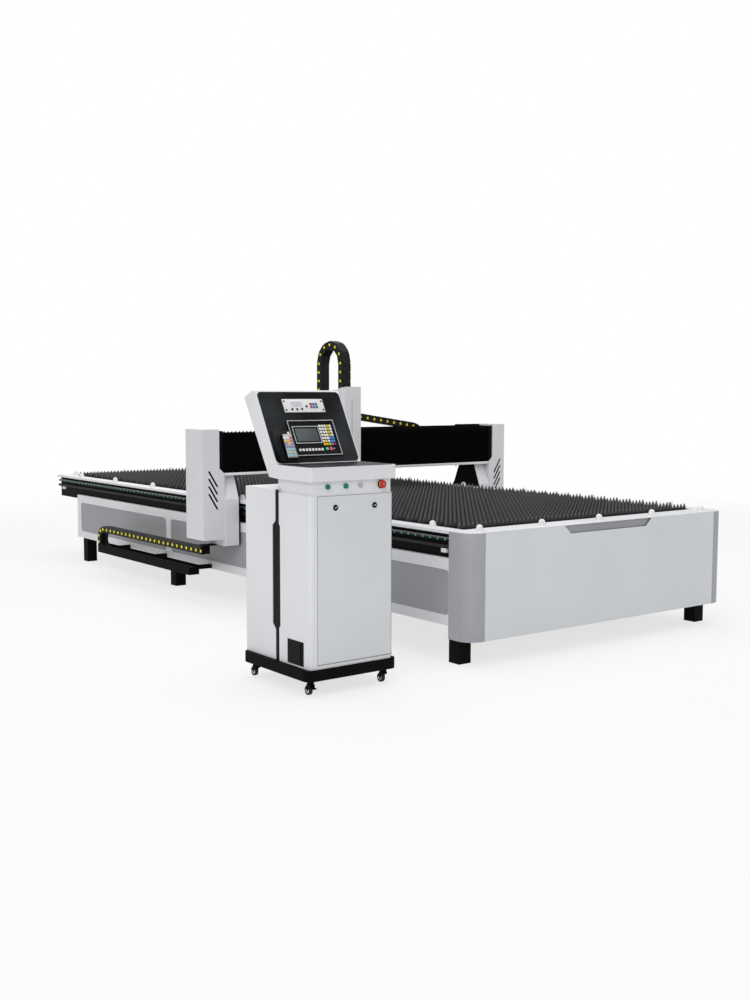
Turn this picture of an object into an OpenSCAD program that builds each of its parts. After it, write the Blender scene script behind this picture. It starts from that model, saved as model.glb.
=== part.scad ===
// Plasma cutting table: slat bed, rack-driven gantry with torch lift, and a control console on casters.
// The origin is on the floor, midway between the four corner feet. +Y runs along the bed to the rear.

/* [Table] */
// Width over the top covers
table_w = 2300; // [2100:10:2500]
// Length from the front panel to the rear end of the covers
table_l = 5870; // [5800:5:5960]
// Height of the top covers above the floor
table_h = 770; // [750:2:800]
// Distance between the centres of the front and rear feet
foot_span_y = 5160; // [5040:10:5200]
// Side of the square feet
foot_w = 90; // [70:2:110]
// Height of the front panel above the floor
panel_z = 146; // [110:2:180]
// Height of the frame above the floor
frame_z = 223; // [200:1:240]
// Thickness of sheet covers
sheet = 3; // [2:0.5:4]

/* [Bed] */
// Number of slats
slat_n = 46; // [30:1:51]
// Thickness of a slat
slat_t = 5; // [3:0.5:8]
// Number of teeth on a slat
tooth_n = 20; // [10:1:60]
// Height of the teeth
tooth_h = 33; // [20:1:40]
// Height of the tooth tips above the covers
tip_rise = 35; // [25:1:45]
// Dome diameter of a ball transfer unit
ball_d = 43; // [30:1:50]

/* [Gantry] */
// Front face of the uprights, measured along the bed
gantry_y = -270.5; // [-600:0.5:400]
// Depth of the uprights
upright_d = 254; // [240:2:300]
// Width of the upright covers
upright_w = 174; // [150:2:200]
// Top of the uprights above the floor
gantry_h = 1290; // [1260:5:1330]
// Width of a leg
leg_w = 113; // [100:1:140]
// Pitch of the bellows folds
fold_pitch = 31.5; // [24:0.5:40]
// Depth of the bellows folds
fold_d = 17; // [12:1:20]
// Pitch radius of the drive pinions of the gantry
pinion_r = 20; // [16:0.5:22]

/* [Carriage] */
// Centre of the carriage across the bed
carriage_x = -213.5; // [-400:0.5:-100]
// Width of the torch lift cover
zcover_w = 165; // [160:1:190]
// Top of the torch lift cover above the floor
zcover_top = 1597; // [1580:1:1640]
// Torch diameter
torch_d = 35; // [28:1:38]

/* [Drag chains] */
// Pitch of the chain links
link_pitch = 72; // [60:1:90]
// Height of the links
link_h = 55; // [50:1:60]
// Width of the lift chain
lift_chain_w = 77; // [60:1:80]
// Bend radius of the lift chain
lift_bend_r = 143.5; // [130:0.5:150]

/* [Console] */
// Left edge of the console plinth
console_x = -2232.5; // [-2600:0.5:-2200]
// Front edge of the console plinth
console_y = -2740.5; // [-3000:0.5:-2000]
// Width of the plinth
plinth_w = 580; // [560:2:640]
// Depth of the plinth
plinth_d = 640; // [640:2:700]
// Height of the cabinet above the plinth
cabinet_h = 892; // [800:2:960]
// Caster wheel diameter
wheel_d = 50; // [44:1:54]
// Push button diameter
button_d = 22; // [18:1:26]

/* [Hidden] */
$fn = 48;

// Gap left between pieces that move past each other, and round a shaft that turns in its bore
gap = 0.3;
fit = 0.05;
// Joint left between neighbouring tubes and strips
seam = 0.2;

// Table
half_w = table_w / 2;
front_y = -foot_span_y / 2 - 172;
rear_y = front_y + table_l;
foot_x = half_w - 84;
foot_ys = [for (k = [0:3]) foot_span_y * (k / 3 - 1 / 2)];
anchor_r = 7;
foot_plate = 8;
cover_w = 110;
cover_top = table_h;
cover_z = table_h - 4;
post_w = cover_w + 10;
post_l = 180;
post_r = 100;
post_y = front_y + post_l;
frame_y1 = foot_span_y / 2 + 75;
frame_x = half_w - sheet;
tube_w = 60;
beam_low_h = 52;
beam_up_h = 58;
beam_up_z = table_h - 217;
rail_z = beam_up_z + beam_up_h;
stile = 75;
rail_beam_x = half_w - 30;
rail_beam_w = 60;
rail_beam_y1 = rear_y - 20;
rear_drop = 38;
bed_y0 = front_y + 177;
bed_y1 = rear_y - 183;
bed_half = rail_beam_x - rail_beam_w;

// Slats
slat_pitch = (bed_y1 - bed_y0) / slat_n;
slat_ys = [for (k = [0:slat_n - 1]) bed_y0 + slat_pitch * (k + 1 / 2)];
slat_top = cover_top + tip_rise;
slat_z = cover_top - 75;
slat_half = bed_half - 2;
tooth_half = half_w - cover_w - 4;
rack_t = 8;
rack_z = slat_z - 35;
tab_z = cover_top - 32;

// Guides of the gantry
guide_z = table_h - 50;
guide_t = 14;
guide_h = 18;
toothed_z = guide_z - 54;
toothed_h = 20;
pinion_z = toothed_z - pinion_r - gap;

// Gantry
leg_x = half_w + 10;
plate_t = 8;
leg_x1 = leg_x + plate_t + leg_w;
upright_x1 = leg_x1 + upright_w;
step_x = leg_x1 + 4;
neck_x = leg_x1 + 40;
gantry_y1 = gantry_y + upright_d;
lip_z = gantry_h - 332;
lip_h = 19;
beam_z = lip_z + lip_h;
beam_y = gantry_y + 55;
beam_d = 100;
beam_h = 268;
beam_top = beam_z + beam_h;
bellows_y = gantry_y + 8;
bellows_y1 = beam_y + beam_d + 10;
bellows_top = beam_top + 32;
leg_z = 450;
leg_knee_z = cover_top + 17;
pinion_y = gantry_y + 170;
block_ys = [gantry_y + 42, gantry_y + 212];
block_l = 90;
shaft_r = 8;

// Carriage
plate_w = zcover_w + 30;
plate_y = bellows_y + 0.5;
plate_d = 18;
plate_y1 = plate_y + plate_d;
plate_top = bellows_top + 63;
zcover_y = plate_y - 93;
zcover_y1 = beam_y;
zcover_z = beam_z + 23;
bridge_z = bellows_top + 23;
bridge_t = 8;
bridge_y1 = gantry_y + 335;
x_rail_zs = [beam_z + 73, beam_z + 223];
x_rack_h = 9;
x_pinion_r = 15;
x_pinion_z = beam_top + x_rack_h + gap + x_pinion_r;
x_pinion_y = beam_y + 40;
screw_r = 6;
screw_x = carriage_x + 25;
screw_y = plate_y - 15;
zguide_x = carriage_x - 32;
motor_z = bellows_top - 7;
torch_y = plate_y - 62;
torch_tip = slat_top + 95;

// Drag chains: straight run, bend and straight run, as stations [along, up, heading]
x_chain_y = gantry_y + 200;
x_chain_w = 50;
x_loop = [597, 79];
x_chain_z = bridge_z + 62;
tray_x0 = -100;
tray_z = beam_z + 118;
x_low_z = tray_z + sheet + gap + link_h / 2;
x_high_z = x_low_z + 2 * x_loop[1];
y_chain_x = -(leg_x1 + 69);
y_chain_w = 72;
y_loop = [gantry_y + 0.317 * table_l, 85];
y_chain_z = 405;
y_fixed = 100;
y_moving = gantry_y + 170;
arch_y = gantry_y + 159;
arch_z = zcover_top + 179.5;
arch_low = zcover_top - 157;

// Console, with its own left front corner as the reference
cab_x = [25, plinth_w - 25];
cab_y = [12, 316];
rear_y0 = 336;
plinth_z = 82;
plinth_top = 140;
cab_top = plinth_top + cabinet_h;
neck_h = 71;
head_z = cab_top + neck_h;
desk_z = head_z + 73;
desk_l = 320;
fascia_l = 438.5;
fascia_angle = 61.4;
head_x = [20, plinth_w - 10];
door_x = [70, plinth_w - 35];
door_z = [plinth_top + 20, cab_top - 4];
hinge_r = 6;
hinge_at = [cab_y[0] + hinge_r, door_z[0] + gap + hinge_r];
pin_r = 2.5;
lock_dx = 125;
lock_z = door_z[1] - 61;
lock_r = 12;
button_z = cab_top + 43;
console_mid = plinth_w / 2;
button_dx = [-155, -42, 52, 187];
caster_in = 55;
caster_off = 18;

// ---- Helpers ----

// Box between two corners
module block(a, b) {
  translate(a) cube(b - a);
}

// Square tube between two corners, open along axis 0, 1 or 2
module tube(a, b, axis, t) {
  in = [for (k = [0:2]) k == axis ? -1 : t];
  difference() {
    block(a, b);
    block(a + in, b - in);
  }
}

// The same piece on both sides of the table
module both_sides() {
  children();
  mirror([1, 0, 0]) children();
}

// Outline in the YZ plane, extruded from x0 to x1
module yz(x0, x1, points) {
  translate([x0, 0, 0]) rotate([90, 0, 90]) linear_extrude(x1 - x0) polygon(points);
}

// Outline in the XZ plane, extruded from y0 to y1
module xz(y0, y1, points) {
  translate([0, y1, 0]) rotate([90, 0, 0]) linear_extrude(y1 - y0) polygon(points);
}

// Rounded rectangle made of two bars and four discs
module rounded(w, h, r) {
  translate([r, 0]) square([w - 2 * r, h]);
  translate([0, r]) square([w, h - 2 * r]);
  for (x = [r, w - r], y = [r, h - r]) translate([x, y]) circle(r);
}

// Round bar along X, Y or Z from a point
module bar_x(p, r, l) { translate(p) rotate([0, 90, 0]) cylinder(r = r, h = l); }
module bar_y(p, r, l) { translate(p) rotate([-90, 0, 0]) cylinder(r = r, h = l); }

// ---- Table ----

module feet() {
  color([0.09, 0.08, 0.08]) for (y = foot_ys, s = [-1, 1]) translate([s * foot_x, y, 0]) {
    difference() {
      translate([-foot_w / 2, -foot_w / 2, 0]) cube([foot_w, foot_w, frame_z]);
      translate([-foot_w / 2 + 4, -foot_w / 2 + 4, foot_plate]) cube([foot_w - 8, foot_w - 8, frame_z]);
      translate([0, 0, -1]) cylinder(r = anchor_r, h = foot_plate + 2);
    }
  }
}

// Panel fields between the stiles of the side frame
stile_ys = [post_y, foot_ys[1] - stile / 2, foot_ys[2] - stile / 2, frame_y1 - stile];

module side_skin() {
  window_r = 38;
  margin = 8;
  translate([frame_x, 0, 0]) rotate([90, 0, 90]) linear_extrude(sheet) difference() {
    translate([post_y, frame_z]) square([frame_y1 - post_y, rail_z - frame_z]);
    for (k = [0:2]) translate([stile_ys[k] + stile, frame_z + beam_low_h + margin])
      rounded(stile_ys[k + 1] - stile_ys[k] - stile, beam_up_z - frame_z - beam_low_h - 2 * margin, window_r);
  }
}

module table_frame() {
  x0 = frame_x - tube_w;
  color([0.88, 0.89, 0.9]) {
    both_sides() {
      tube([x0, post_y, frame_z], [frame_x - seam, frame_y1, frame_z + beam_low_h], 1, 4);
      tube([x0, post_y, beam_up_z], [frame_x - seam, frame_y1, rail_z], 1, 4);
      for (y = stile_ys)
        tube([x0, y, frame_z + beam_low_h + seam], [frame_x - seam, y + stile, beam_up_z - seam], 2, 4);
      side_skin();
    }
    for (y = foot_ys) {
      tube([-x0 + seam, y - tube_w / 2, frame_z], [x0 - seam, y + tube_w / 2, frame_z + tube_w], 0, 4);
      tube([-x0 + seam, y - tube_w / 2, rail_z - tube_w], [x0 - seam, y + tube_w / 2, rail_z], 0, 4);
    }
  }
}

module rail_beams() {
  end_x = half_w - post_w - gap;
  color([0.07, 0.07, 0.07]) {
    both_sides() {
      tube([bed_half, post_y, rail_z], [rail_beam_x, rail_beam_y1, cover_z], 1, 5);
      tube([bed_half, frame_y1 + seam, rail_z - rear_drop], [rail_beam_x, rail_beam_y1, rail_z - seam], 1, 4);
    }
    tube([-bed_half + seam, rail_beam_y1 - 45, rail_z], [bed_half - seam, rail_beam_y1, cover_z], 0, 4);
    block([-end_x, bed_y0, rail_z], [end_x, bed_y0 + 4, cover_z]);
    block([-bed_half + seam, bed_y1, rail_z], [bed_half - seam, bed_y1 + 4, cover_z]);
  }
}

module grey_panels() {
  inset_y = front_y + 12;
  color([0.62, 0.64, 0.66]) {
    both_sides() for (k = [0:2])
      block([frame_x - 6, stile_ys[k] + stile, frame_z + beam_low_h],
        [frame_x - seam, stile_ys[k + 1], beam_up_z]);
    block([-notch_top - 25, inset_y, cover_z - notch_h - 18], [notch_top + 25, inset_y + sheet, cover_z]);
  }
}

// Plan of a corner post moved inwards by g, with its outer corner rounded
module post_plan(g) {
  x0 = half_w - post_w + g;
  intersection() {
    union() {
      translate([x0, front_y + post_r]) square([post_w - 2 * g, post_l]);
      translate([x0, front_y + g]) square([post_w - post_r - g, post_l]);
      translate([half_w - post_r, front_y + post_r]) circle(post_r - g);
    }
    translate([x0, front_y + g]) square([post_w - 2 * g, post_l - 2 * g]);
  }
}

// Folded cover round the corner, open towards the foot behind it
module corner_posts() {
  wall = 4;
  return_w = 30;
  color([0.6, 0.61, 0.63]) both_sides() translate([0, 0, panel_z]) linear_extrude(cover_z - panel_z)
    difference() {
      post_plan(0);
      post_plan(wall);
      translate([half_w - post_w - 1, front_y + return_w]) square([post_w - return_w - wall, post_l]);
    }
}

notch_top = 395;
notch_low = 340;
notch_h = 50;

module front_panel() {
  x1 = half_w - post_w - gap;
  flange = 25;
  color([0.86, 0.87, 0.88]) {
    xz(front_y, front_y + sheet, [[-x1, panel_z], [x1, panel_z], [x1, cover_z], [notch_top, cover_z],
      [notch_low, cover_z - notch_h], [-notch_low, cover_z - notch_h], [-notch_top, cover_z], [-x1, cover_z]]);
    both_sides() block([x1 - sheet, front_y + sheet, panel_z], [x1, front_y + flange, cover_z]);
    block([-x1 + sheet, front_y + sheet, panel_z], [x1 - sheet, front_y + flange, panel_z + sheet]);
  }
}

module top_covers() {
  lip = 14;
  inner = half_w - cover_w;
  color([0.9, 0.91, 0.92]) {
    // Front strip, rounded at the two corners above the posts
    translate([0, 0, cover_z]) linear_extrude(4) intersection() {
      union() {
        translate([-half_w, front_y + post_r]) square([table_w, post_r]);
        translate([-half_w + post_r, front_y]) square([table_w - 2 * post_r, 2 * post_r]);
        for (s = [-1, 1]) translate([s * (half_w - post_r), front_y + post_r]) circle(post_r);
      }
      translate([-half_w, front_y]) square([table_w, bed_y0 - seam - front_y]);
    }
    both_sides() {
      block([inner, bed_y0, cover_z], [half_w, rear_y, cover_top]);
      block([half_w - sheet, post_y + seam, cover_z - lip], [half_w, rear_y, cover_z]);
      block([inner, bed_y0 + 4 + seam, cover_z - lip], [inner + sheet, bed_y1 - seam, cover_z]);
    }
    block([-inner + seam, bed_y1, cover_z], [inner - seam, rear_y, cover_top]);
    block([-inner + seam, rear_y - sheet, cover_z - lip], [inner - seam, rear_y, cover_z]);
  }
}

// Toothed slat between its two end tabs
module slat() {
  pitch = 2 * tooth_half / tooth_n;
  teeth = [for (k = [0:tooth_n - 1]) each [
    [tooth_half - pitch * k, slat_top - tooth_h], [tooth_half - pitch * (k + 1 / 2), slat_top]]];
  xz(-slat_t / 2, slat_t / 2, concat([[-slat_half, slat_z], [slat_half, slat_z], [slat_half, tab_z],
    [tooth_half, tab_z]], teeth, [[-tooth_half, slat_top - tooth_h], [-tooth_half, tab_z], [-slat_half, tab_z]]));
}

module slats() {
  color([0.25, 0.24, 0.24]) for (y = slat_ys) translate([0, y, 0]) slat();
}

// Notched bar that holds the ends of the slats
module slat_racks() {
  notch = slat_t / 2 + gap;
  points = concat([[bed_y1, tab_z], [bed_y1, rack_z], [bed_y0 + 4, rack_z], [bed_y0 + 4, tab_z]],
    [for (y = slat_ys) each [[y - notch, tab_z], [y - notch, slat_z], [y + notch, slat_z], [y + notch, tab_z]]]);
  color([0.12, 0.12, 0.12]) both_sides() yz(bed_half - rack_t, bed_half, points);
}

module slag_trays() {
  wall = 3;
  rim_z = rack_z - 10;
  x1 = bed_half - rack_t - 4;
  y0 = bed_y0 + 60;
  y1 = bed_y1 - 60;
  color([0.35, 0.35, 0.36]) for (s = [[y0, -20], [20, y1]]) difference() {
    block([-x1, s[0], rail_z], [x1, s[1], rim_z]);
    block([-x1 + wall, s[0] + wall, rail_z + wall], [x1 - wall, s[1] - wall, rim_z + 1]);
  }
}

// Ball transfer unit: a collar with the dome of the ball standing out of it
module ball_unit($fn = 20) {
  r = ball_d / 2;
  rise = 17;
  translate([0, 0, cover_top]) {
    cylinder(r = r + 3, h = rise);
    translate([0, 0, rise]) intersection() {
      sphere(r);
      cylinder(r = r + 1, h = r);
    }
  }
}

module ball_units() {
  side_x = half_w - 70;
  front_row = front_y + 87;
  rear_row = rear_y - 90;
  color([0.9, 0.9, 0.88]) {
    for (k = [-2:2]) {
      translate([k * (side_x - 80) / 2, front_row, 0]) ball_unit();
      translate([k * (side_x - 80) / 2, rear_row, 0]) ball_unit();
    }
    for (k = [0:7], s = [-1, 1])
      translate([s * side_x, front_row + 320 + k * (rear_row - front_row - 640) / 7, 0]) ball_unit();
  }
}

module y_guides() {
  switch_z = toothed_z - 22;
  color([0.75, 0.76, 0.77]) both_sides() {
    block([rail_beam_x, post_y, guide_z - guide_h / 2], [rail_beam_x + guide_t, rear_y, guide_z + guide_h / 2]);
    block([rail_beam_x, post_y, toothed_z], [rail_beam_x + toothed_h, rear_y, toothed_z + toothed_h]);
  }
  color([0.8, 0.8, 0.78]) for (y = [post_y + 55, rail_beam_y1 - 120])
    block([-rail_beam_x - 20, y, switch_z - 8], [-rail_beam_x, y + 42, switch_z + 14]);
}

// ---- Drag chains ----

function along(a) = [cos(a), sin(a)];
function across(a) = [-sin(a), cos(a)];

// Stations of a straight run of n links from p to q
function straight(p, q, n) = let (a = atan2(q[1] - p[1], q[0] - p[0])) [for (k = [0:n]) concat(p + (q - p) * k / n, a)];
// Stations of a bend of n links round c, between two headings, with the inner side towards c
function bend(c, r, a0, a1, n) = [for (k = [0:n]) let (a = a0 + (a1 - a0) * k / n)
  concat(c + r * along(a - sign(a1 - a0) * 90), a)];

function spot(s) = [s[0], s[1]];

// Chain link between two stations: bevelled at the corners of its outer side
module link(p, q, h, side) {
  cut = 7;
  d = (spot(q) - spot(p)) / norm(spot(q) - spot(p));
  a = spot(p) + d * gap / 2;
  b = spot(q) - d * gap / 2;
  na = across(p[2]) * side;
  nb = across(q[2]) * side;
  polygon([a - na * h / 2, b - nb * h / 2, b + nb * (h / 2 - cut), b + nb * h / 2 - d * cut,
    a + na * h / 2 + d * cut, a + na * (h / 2 - cut)]);
}

module chain(stations, w, h, side) {
  for (k = [0:len(stations) - 2]) linear_extrude(w, center = true) link(stations[k], stations[k + 1], h, side);
}

function links(l) = max(1, round(l / link_pitch));

module x_chain() {
  start = [carriage_x + 80, x_chain_z];
  mid = [carriage_x + 275, x_chain_z];
  turn = [x_loop[0], x_high_z];
  slope = atan2(turn[1] - mid[1], turn[0] - mid[0]);
  color([0.05, 0.05, 0.05]) translate([0, x_chain_y, 0]) rotate([90, 0, 0]) {
    chain([for (s = straight(start, mid, links(mid[0] - start[0]))) [s[0], s[1], s[0] == mid[0] ? slope / 2 : 0]],
      x_chain_w, link_h, 1);
    chain([for (s = straight(mid, turn, links(turn[0] - mid[0])))
      [s[0], s[1], s[0] == mid[0] ? slope / 2 : s[0] == turn[0] ? 0 : slope]], x_chain_w, link_h, 1);
    chain(bend([x_loop[0], x_high_z - x_loop[1]], x_loop[1], 0, -180, 5), x_chain_w, link_h, 1);
    chain(straight([x_loop[0], x_low_z], [0, x_low_z], links(x_loop[0])), x_chain_w, link_h, 1);
  }
}

module y_chain() {
  low = y_chain_z - 2 * y_loop[1];
  color([0.05, 0.05, 0.05]) translate([y_chain_x, 0, 0]) rotate([90, 0, 90]) {
    chain(straight([y_moving, y_chain_z], [y_loop[0], y_chain_z], links(y_loop[0] - y_moving)), y_chain_w, 50, 1);
    chain(bend([y_loop[0], y_chain_z - y_loop[1]], y_loop[1], 0, -180, 5), y_chain_w, 50, 1);
    chain(straight([y_loop[0], low], [y_fixed, low], links(y_loop[0] - y_fixed)), y_chain_w, 50, 1);
  }
}

module z_chain() {
  front = arch_y - lift_bend_r;
  rear = arch_y + lift_bend_r;
  foot = bridge_z + bridge_t;
  color([0.05, 0.05, 0.05]) translate([carriage_x, 0, 0]) rotate([90, 0, 90]) {
    chain(straight([front, arch_low], [front, arch_z], links(arch_z - arch_low)), lift_chain_w, 60, 1);
    chain(bend([arch_y, arch_z], lift_bend_r, 90, -90, 6), lift_chain_w, 60, 1);
    chain(straight([rear, arch_z], [rear, foot], links(arch_z - foot)), lift_chain_w, 60, 1);
  }
}

module y_chain_tray() {
  wall = 3;
  half = y_chain_w / 2 + 4;
  floor_z = y_chain_z - 2 * y_loop[1] - 25 - gap;
  wall_z = floor_z + 68;
  arm_z = frame_z + 5;
  tray_y1 = y_loop[0] + y_loop[1];
  arm_ys = [y_fixed + 60, (y_fixed + tray_y1) / 2, tray_y1 - 120];
  color([0.12, 0.12, 0.12]) {
    difference() {
      block([y_chain_x - half - wall, y_fixed - 30, floor_z - wall], [y_chain_x + half + wall, tray_y1, wall_z]);
      block([y_chain_x - half, y_fixed - 31, floor_z], [y_chain_x + half, tray_y1 + 1, wall_z + 1]);
    }
    block([y_chain_x - half, y_fixed - 20, floor_z], [y_chain_x + half, y_fixed - gap, floor_z + 46]);
    for (y = arm_ys)
      tube([y_chain_x + half + wall, y, arm_z], [-half_w, y + 40, arm_z + 30], 0, 3);
  }
}

// ---- Gantry ----

leg_points = [[gantry_y - 6, leg_z], [gantry_y - 6, leg_knee_z], [gantry_y + 62, lip_z],
  [gantry_y + 239, lip_z], [gantry_y + 310, leg_knee_z], [gantry_y + 310, leg_z]];
wall_t = 5;
leg_inner = [[gantry_y - 6 + wall_t, leg_z + wall_t], [gantry_y - 6 + wall_t, leg_knee_z - 1],
  [gantry_y + 66, lip_z - wall_t], [gantry_y + 235, lip_z - wall_t],
  [gantry_y + 310 - wall_t, leg_knee_z - 1], [gantry_y + 310 - wall_t, leg_z + wall_t]];

module gantry_legs() {
  color([0.8, 0.81, 0.83]) both_sides() difference() {
    yz(leg_x + plate_t, leg_x1, leg_points);
    yz(leg_x + plate_t - 1, leg_x1 - wall_t, leg_inner);
  }
}

// Black plates on the inner side of the legs, with the bearing blocks on the guides
module leg_plates() {
  reach = rail_beam_x + 2;
  color([0.06, 0.06, 0.06]) both_sides() {
    difference() {
      yz(leg_x, leg_x + plate_t, leg_points);
      bar_x([leg_x - 1, pinion_y, pinion_z], shaft_r + fit, plate_t + 2);
    }
    for (y = block_ys) difference() {
      block([reach, y, guide_z - 21], [leg_x, y + block_l, guide_z + 21]);
      block([reach - 1, y - 1, guide_z - guide_h / 2 - gap],
        [rail_beam_x + guide_t + gap, y + block_l + 1, guide_z + guide_h / 2 + gap]);
    }
  }
}

module y_drives() {
  color([0.15, 0.15, 0.16]) both_sides() difference() {
    union() {
      block([leg_x + plate_t, pinion_y - 45, pinion_z - 45], [leg_x + plate_t + 45, pinion_y + 45, pinion_z + 45]);
      bar_x([leg_x + plate_t + 45, pinion_y, pinion_z], 40, leg_w - 55);
    }
    bar_x([leg_x + plate_t - 1, pinion_y, pinion_z], shaft_r + fit, 31);
  }
}

module y_pinion() {
  bar_x([rail_beam_x + 2, pinion_y, pinion_z], pinion_r, 18);
  bar_x([rail_beam_x + 20, pinion_y, pinion_z], shaft_r, leg_x + plate_t + 28 - rail_beam_x - 20);
}
module pinion_left() { color([0.6, 0.6, 0.62]) mirror([1, 0, 0]) y_pinion(); }
module pinion_right() { color([0.6, 0.6, 0.62]) y_pinion(); }

module upright_covers() {
  cover_low = 500;
  slot = 54;
  color([0.82, 0.83, 0.85]) both_sides() difference() {
    xz(gantry_y, gantry_y1, [[leg_x1, cover_low], [upright_x1, cover_low], [upright_x1, gantry_h], [neck_x, gantry_h],
      [neck_x, beam_z + 34], [step_x, beam_z], [leg_x1, beam_z]]);
    xz(gantry_y + sheet, gantry_y1 - sheet, [[leg_x1 + sheet, cover_low - 1], [upright_x1 - sheet, cover_low - 1],
      [upright_x1 - sheet, gantry_h - sheet], [neck_x + sheet, gantry_h - sheet], [neck_x + sheet, beam_z + 32],
      [step_x + sheet, beam_z - sheet], [leg_x1 + sheet, beam_z - sheet]]);
    for (k = [0:3]) xz(gantry_y - 1, gantry_y + sheet + 1, [for (p = [[124, 15], [133, 15], [64, -93], [55, -93]])
      [leg_x1 + p[0], beam_z + p[1] - k * slot]]);
  }
}

module gantry_beam() {
  color([0.86, 0.87, 0.89]) block([-leg_x1, bellows_y, lip_z], [leg_x1, bellows_y1, beam_z]);
  color([0.1, 0.1, 0.1]) {
    tube([-step_x, beam_y, beam_z], [step_x, beam_y + beam_d, beam_top], 0, 6);
    both_sides() xz(bellows_y, bellows_y1, [[step_x, beam_z + 1], [neck_x, beam_z + 35],
      [neck_x, bellows_top], [step_x, bellows_top]]);
  }
}

// Zigzag edge of the folds from x0 to x1, low at both ends
function folds(x0, x1, d) = let (n = round((x1 - x0) / fold_pitch), p = (x1 - x0) / n)
  [for (k = [0:2 * n]) [x0 + p * k / 2, k % 2 == 0 ? 0 : d]];

// Folded cover over the front and the top of the beam
module bellows_run(x0, x1) {
  skin = 2;
  front = [for (p = folds(x0, x1, fold_d)) [p[0], bellows_y + fold_d - p[1]]];
  top = [for (p = folds(x0, x1, fold_d)) [p[0], bellows_top - fold_d + p[1]]];
  difference() {
    intersection() {
      translate([0, 0, beam_z]) linear_extrude(bellows_top - beam_z)
        polygon(concat(front, [[x1, bellows_y1], [x0, bellows_y1]]));
      xz(bellows_y, bellows_y1, concat(top, [[x1, beam_z], [x0, beam_z]]));
    }
    block([x0 - 1, bellows_y + fold_d + skin, beam_z - 1], [x1 + 1, bellows_y1 + 1, bellows_top - fold_d - skin]);
  }
}

module bellows() {
  color([0.04, 0.04, 0.04]) {
    bellows_run(-step_x + gap, carriage_x - plate_w / 2 - gap);
    bellows_run(carriage_x + plate_w / 2 + gap, step_x - gap);
  }
}

module x_guides() {
  x1 = step_x - 15;
  color([0.7, 0.71, 0.73]) {
    for (z = x_rail_zs) block([-x1, beam_y - 14, z - 7.5], [x1, beam_y, z + 7.5]);
    block([-x1, x_pinion_y, beam_top], [x1, x_pinion_y + 18, beam_top + x_rack_h]);
  }
}

// Tray for the chain of the carriage, its fixed end, and the arm for the chain of the gantry
module chain_tray() {
  half = x_chain_w / 2 + 7;
  y0 = x_chain_y - half - sheet;
  y1 = x_chain_y + half + sheet;
  top = bellows_top + 3;
  low = y_chain_z - 25;
  color([0.06, 0.06, 0.06]) {
    difference() {
      block([tray_x0, y0, tray_z], [neck_x, y1, top]);
      block([tray_x0 - 1, y0 + sheet, tray_z + sheet], [neck_x + 1, y1 - sheet, top + 1]);
    }
    block([neck_x - 220, y0, top], [neck_x, y1, top + 9]);
    block([-12, x_chain_y - 20, tray_z + sheet], [-gap, x_chain_y + 20, x_low_z + link_h / 2]);
    block([tray_x0, beam_y + beam_d, tray_z + 40], [step_x - 1, y0, tray_z + 46]);
    block([y_chain_x - y_chain_w / 2, y_moving - 40, leg_z - 8], [-leg_x, y_moving + 40, leg_z]);
    block([y_chain_x - y_chain_w / 2, y_moving - 8, low], [y_chain_x + y_chain_w / 2, y_moving - gap, leg_z - 8]);
  }
}

// ---- Carriage and torch lift ----

module carriage_plate() {
  x0 = carriage_x - plate_w / 2;
  x1 = carriage_x + plate_w / 2;
  in = 22;
  guide_top = motor_z - 25;
  color([0.55, 0.56, 0.58]) {
    xz(plate_y, plate_y1, [[x0, zcover_z - 12], [x1, zcover_z - 12], [x1, bellows_top], [x1 - in, bellows_top],
      [x1 - in, plate_top], [x0 + in, plate_top], [x0 + in, bellows_top], [x0, bellows_top]]);
    for (z = x_rail_zs, x = [x0 + 15, x1 - 75]) difference() {
      block([x, plate_y1, z - 18], [x + 60, beam_y - 4.5, z + 18]);
      block([x - 1, beam_y - 14 - gap, z - 7.5 - gap], [x + 61, beam_y, z + 7.5 + gap]);
    }
    block([zguide_x - 7.5, plate_y - 14, zcover_z - 8], [zguide_x + 7.5, plate_y, guide_top]);
  }
  // Bridge over the beam to the ends of both chains
  color([0.08, 0.08, 0.08]) {
    block([x0 + in, plate_y1, bridge_z], [x1 - in, bridge_y1, bridge_z + bridge_t]);
    block([x1 - in - 6, x_chain_y - x_chain_w / 2 - 4, bridge_z + bridge_t],
      [x1 - in, x_chain_y + x_chain_w / 2 + 4, x_chain_z + link_h / 2 + 2]);
    block([carriage_x + 75.5, x_chain_y - x_chain_w / 2, x_chain_z - 20],
      [carriage_x + 80 - gap, x_chain_y + x_chain_w / 2, x_chain_z + 20]);
  }
}

module axis_motors() {
  r = 20;
  color([0.1, 0.1, 0.11]) {
    difference() {
      bar_y([carriage_x, plate_y1, x_pinion_z], r, x_pinion_y - 3 - plate_y1);
      bar_y([carriage_x, x_pinion_y - 20, x_pinion_z], 5 + fit, 20);
    }
    difference() {
      block([screw_x - 26, plate_y - 58, motor_z], [screw_x + 26, plate_y, motor_z + 60]);
      translate([screw_x, screw_y, motor_z - 1]) cylinder(r = screw_r + fit, h = 21);
    }
    difference() {
      block([screw_x - 14, plate_y - 23.5, zcover_z + 4], [screw_x + 14, plate_y, zcover_z + 14]);
      translate([screw_x, screw_y, zcover_z + 3]) cylinder(r = screw_r + fit, h = 12);
    }
  }
}

module x_pinion() {
  color([0.6, 0.6, 0.62]) {
    bar_y([carriage_x, x_pinion_y, x_pinion_z], x_pinion_r, 18);
    bar_y([carriage_x, x_pinion_y - 18, x_pinion_z], 5, 18);
  }
}

module z_screw() {
  color([0.7, 0.71, 0.73]) translate([screw_x, screw_y, zcover_z + 4])
    cylinder(r = screw_r, h = motor_z + 14 - zcover_z);
}

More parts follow.
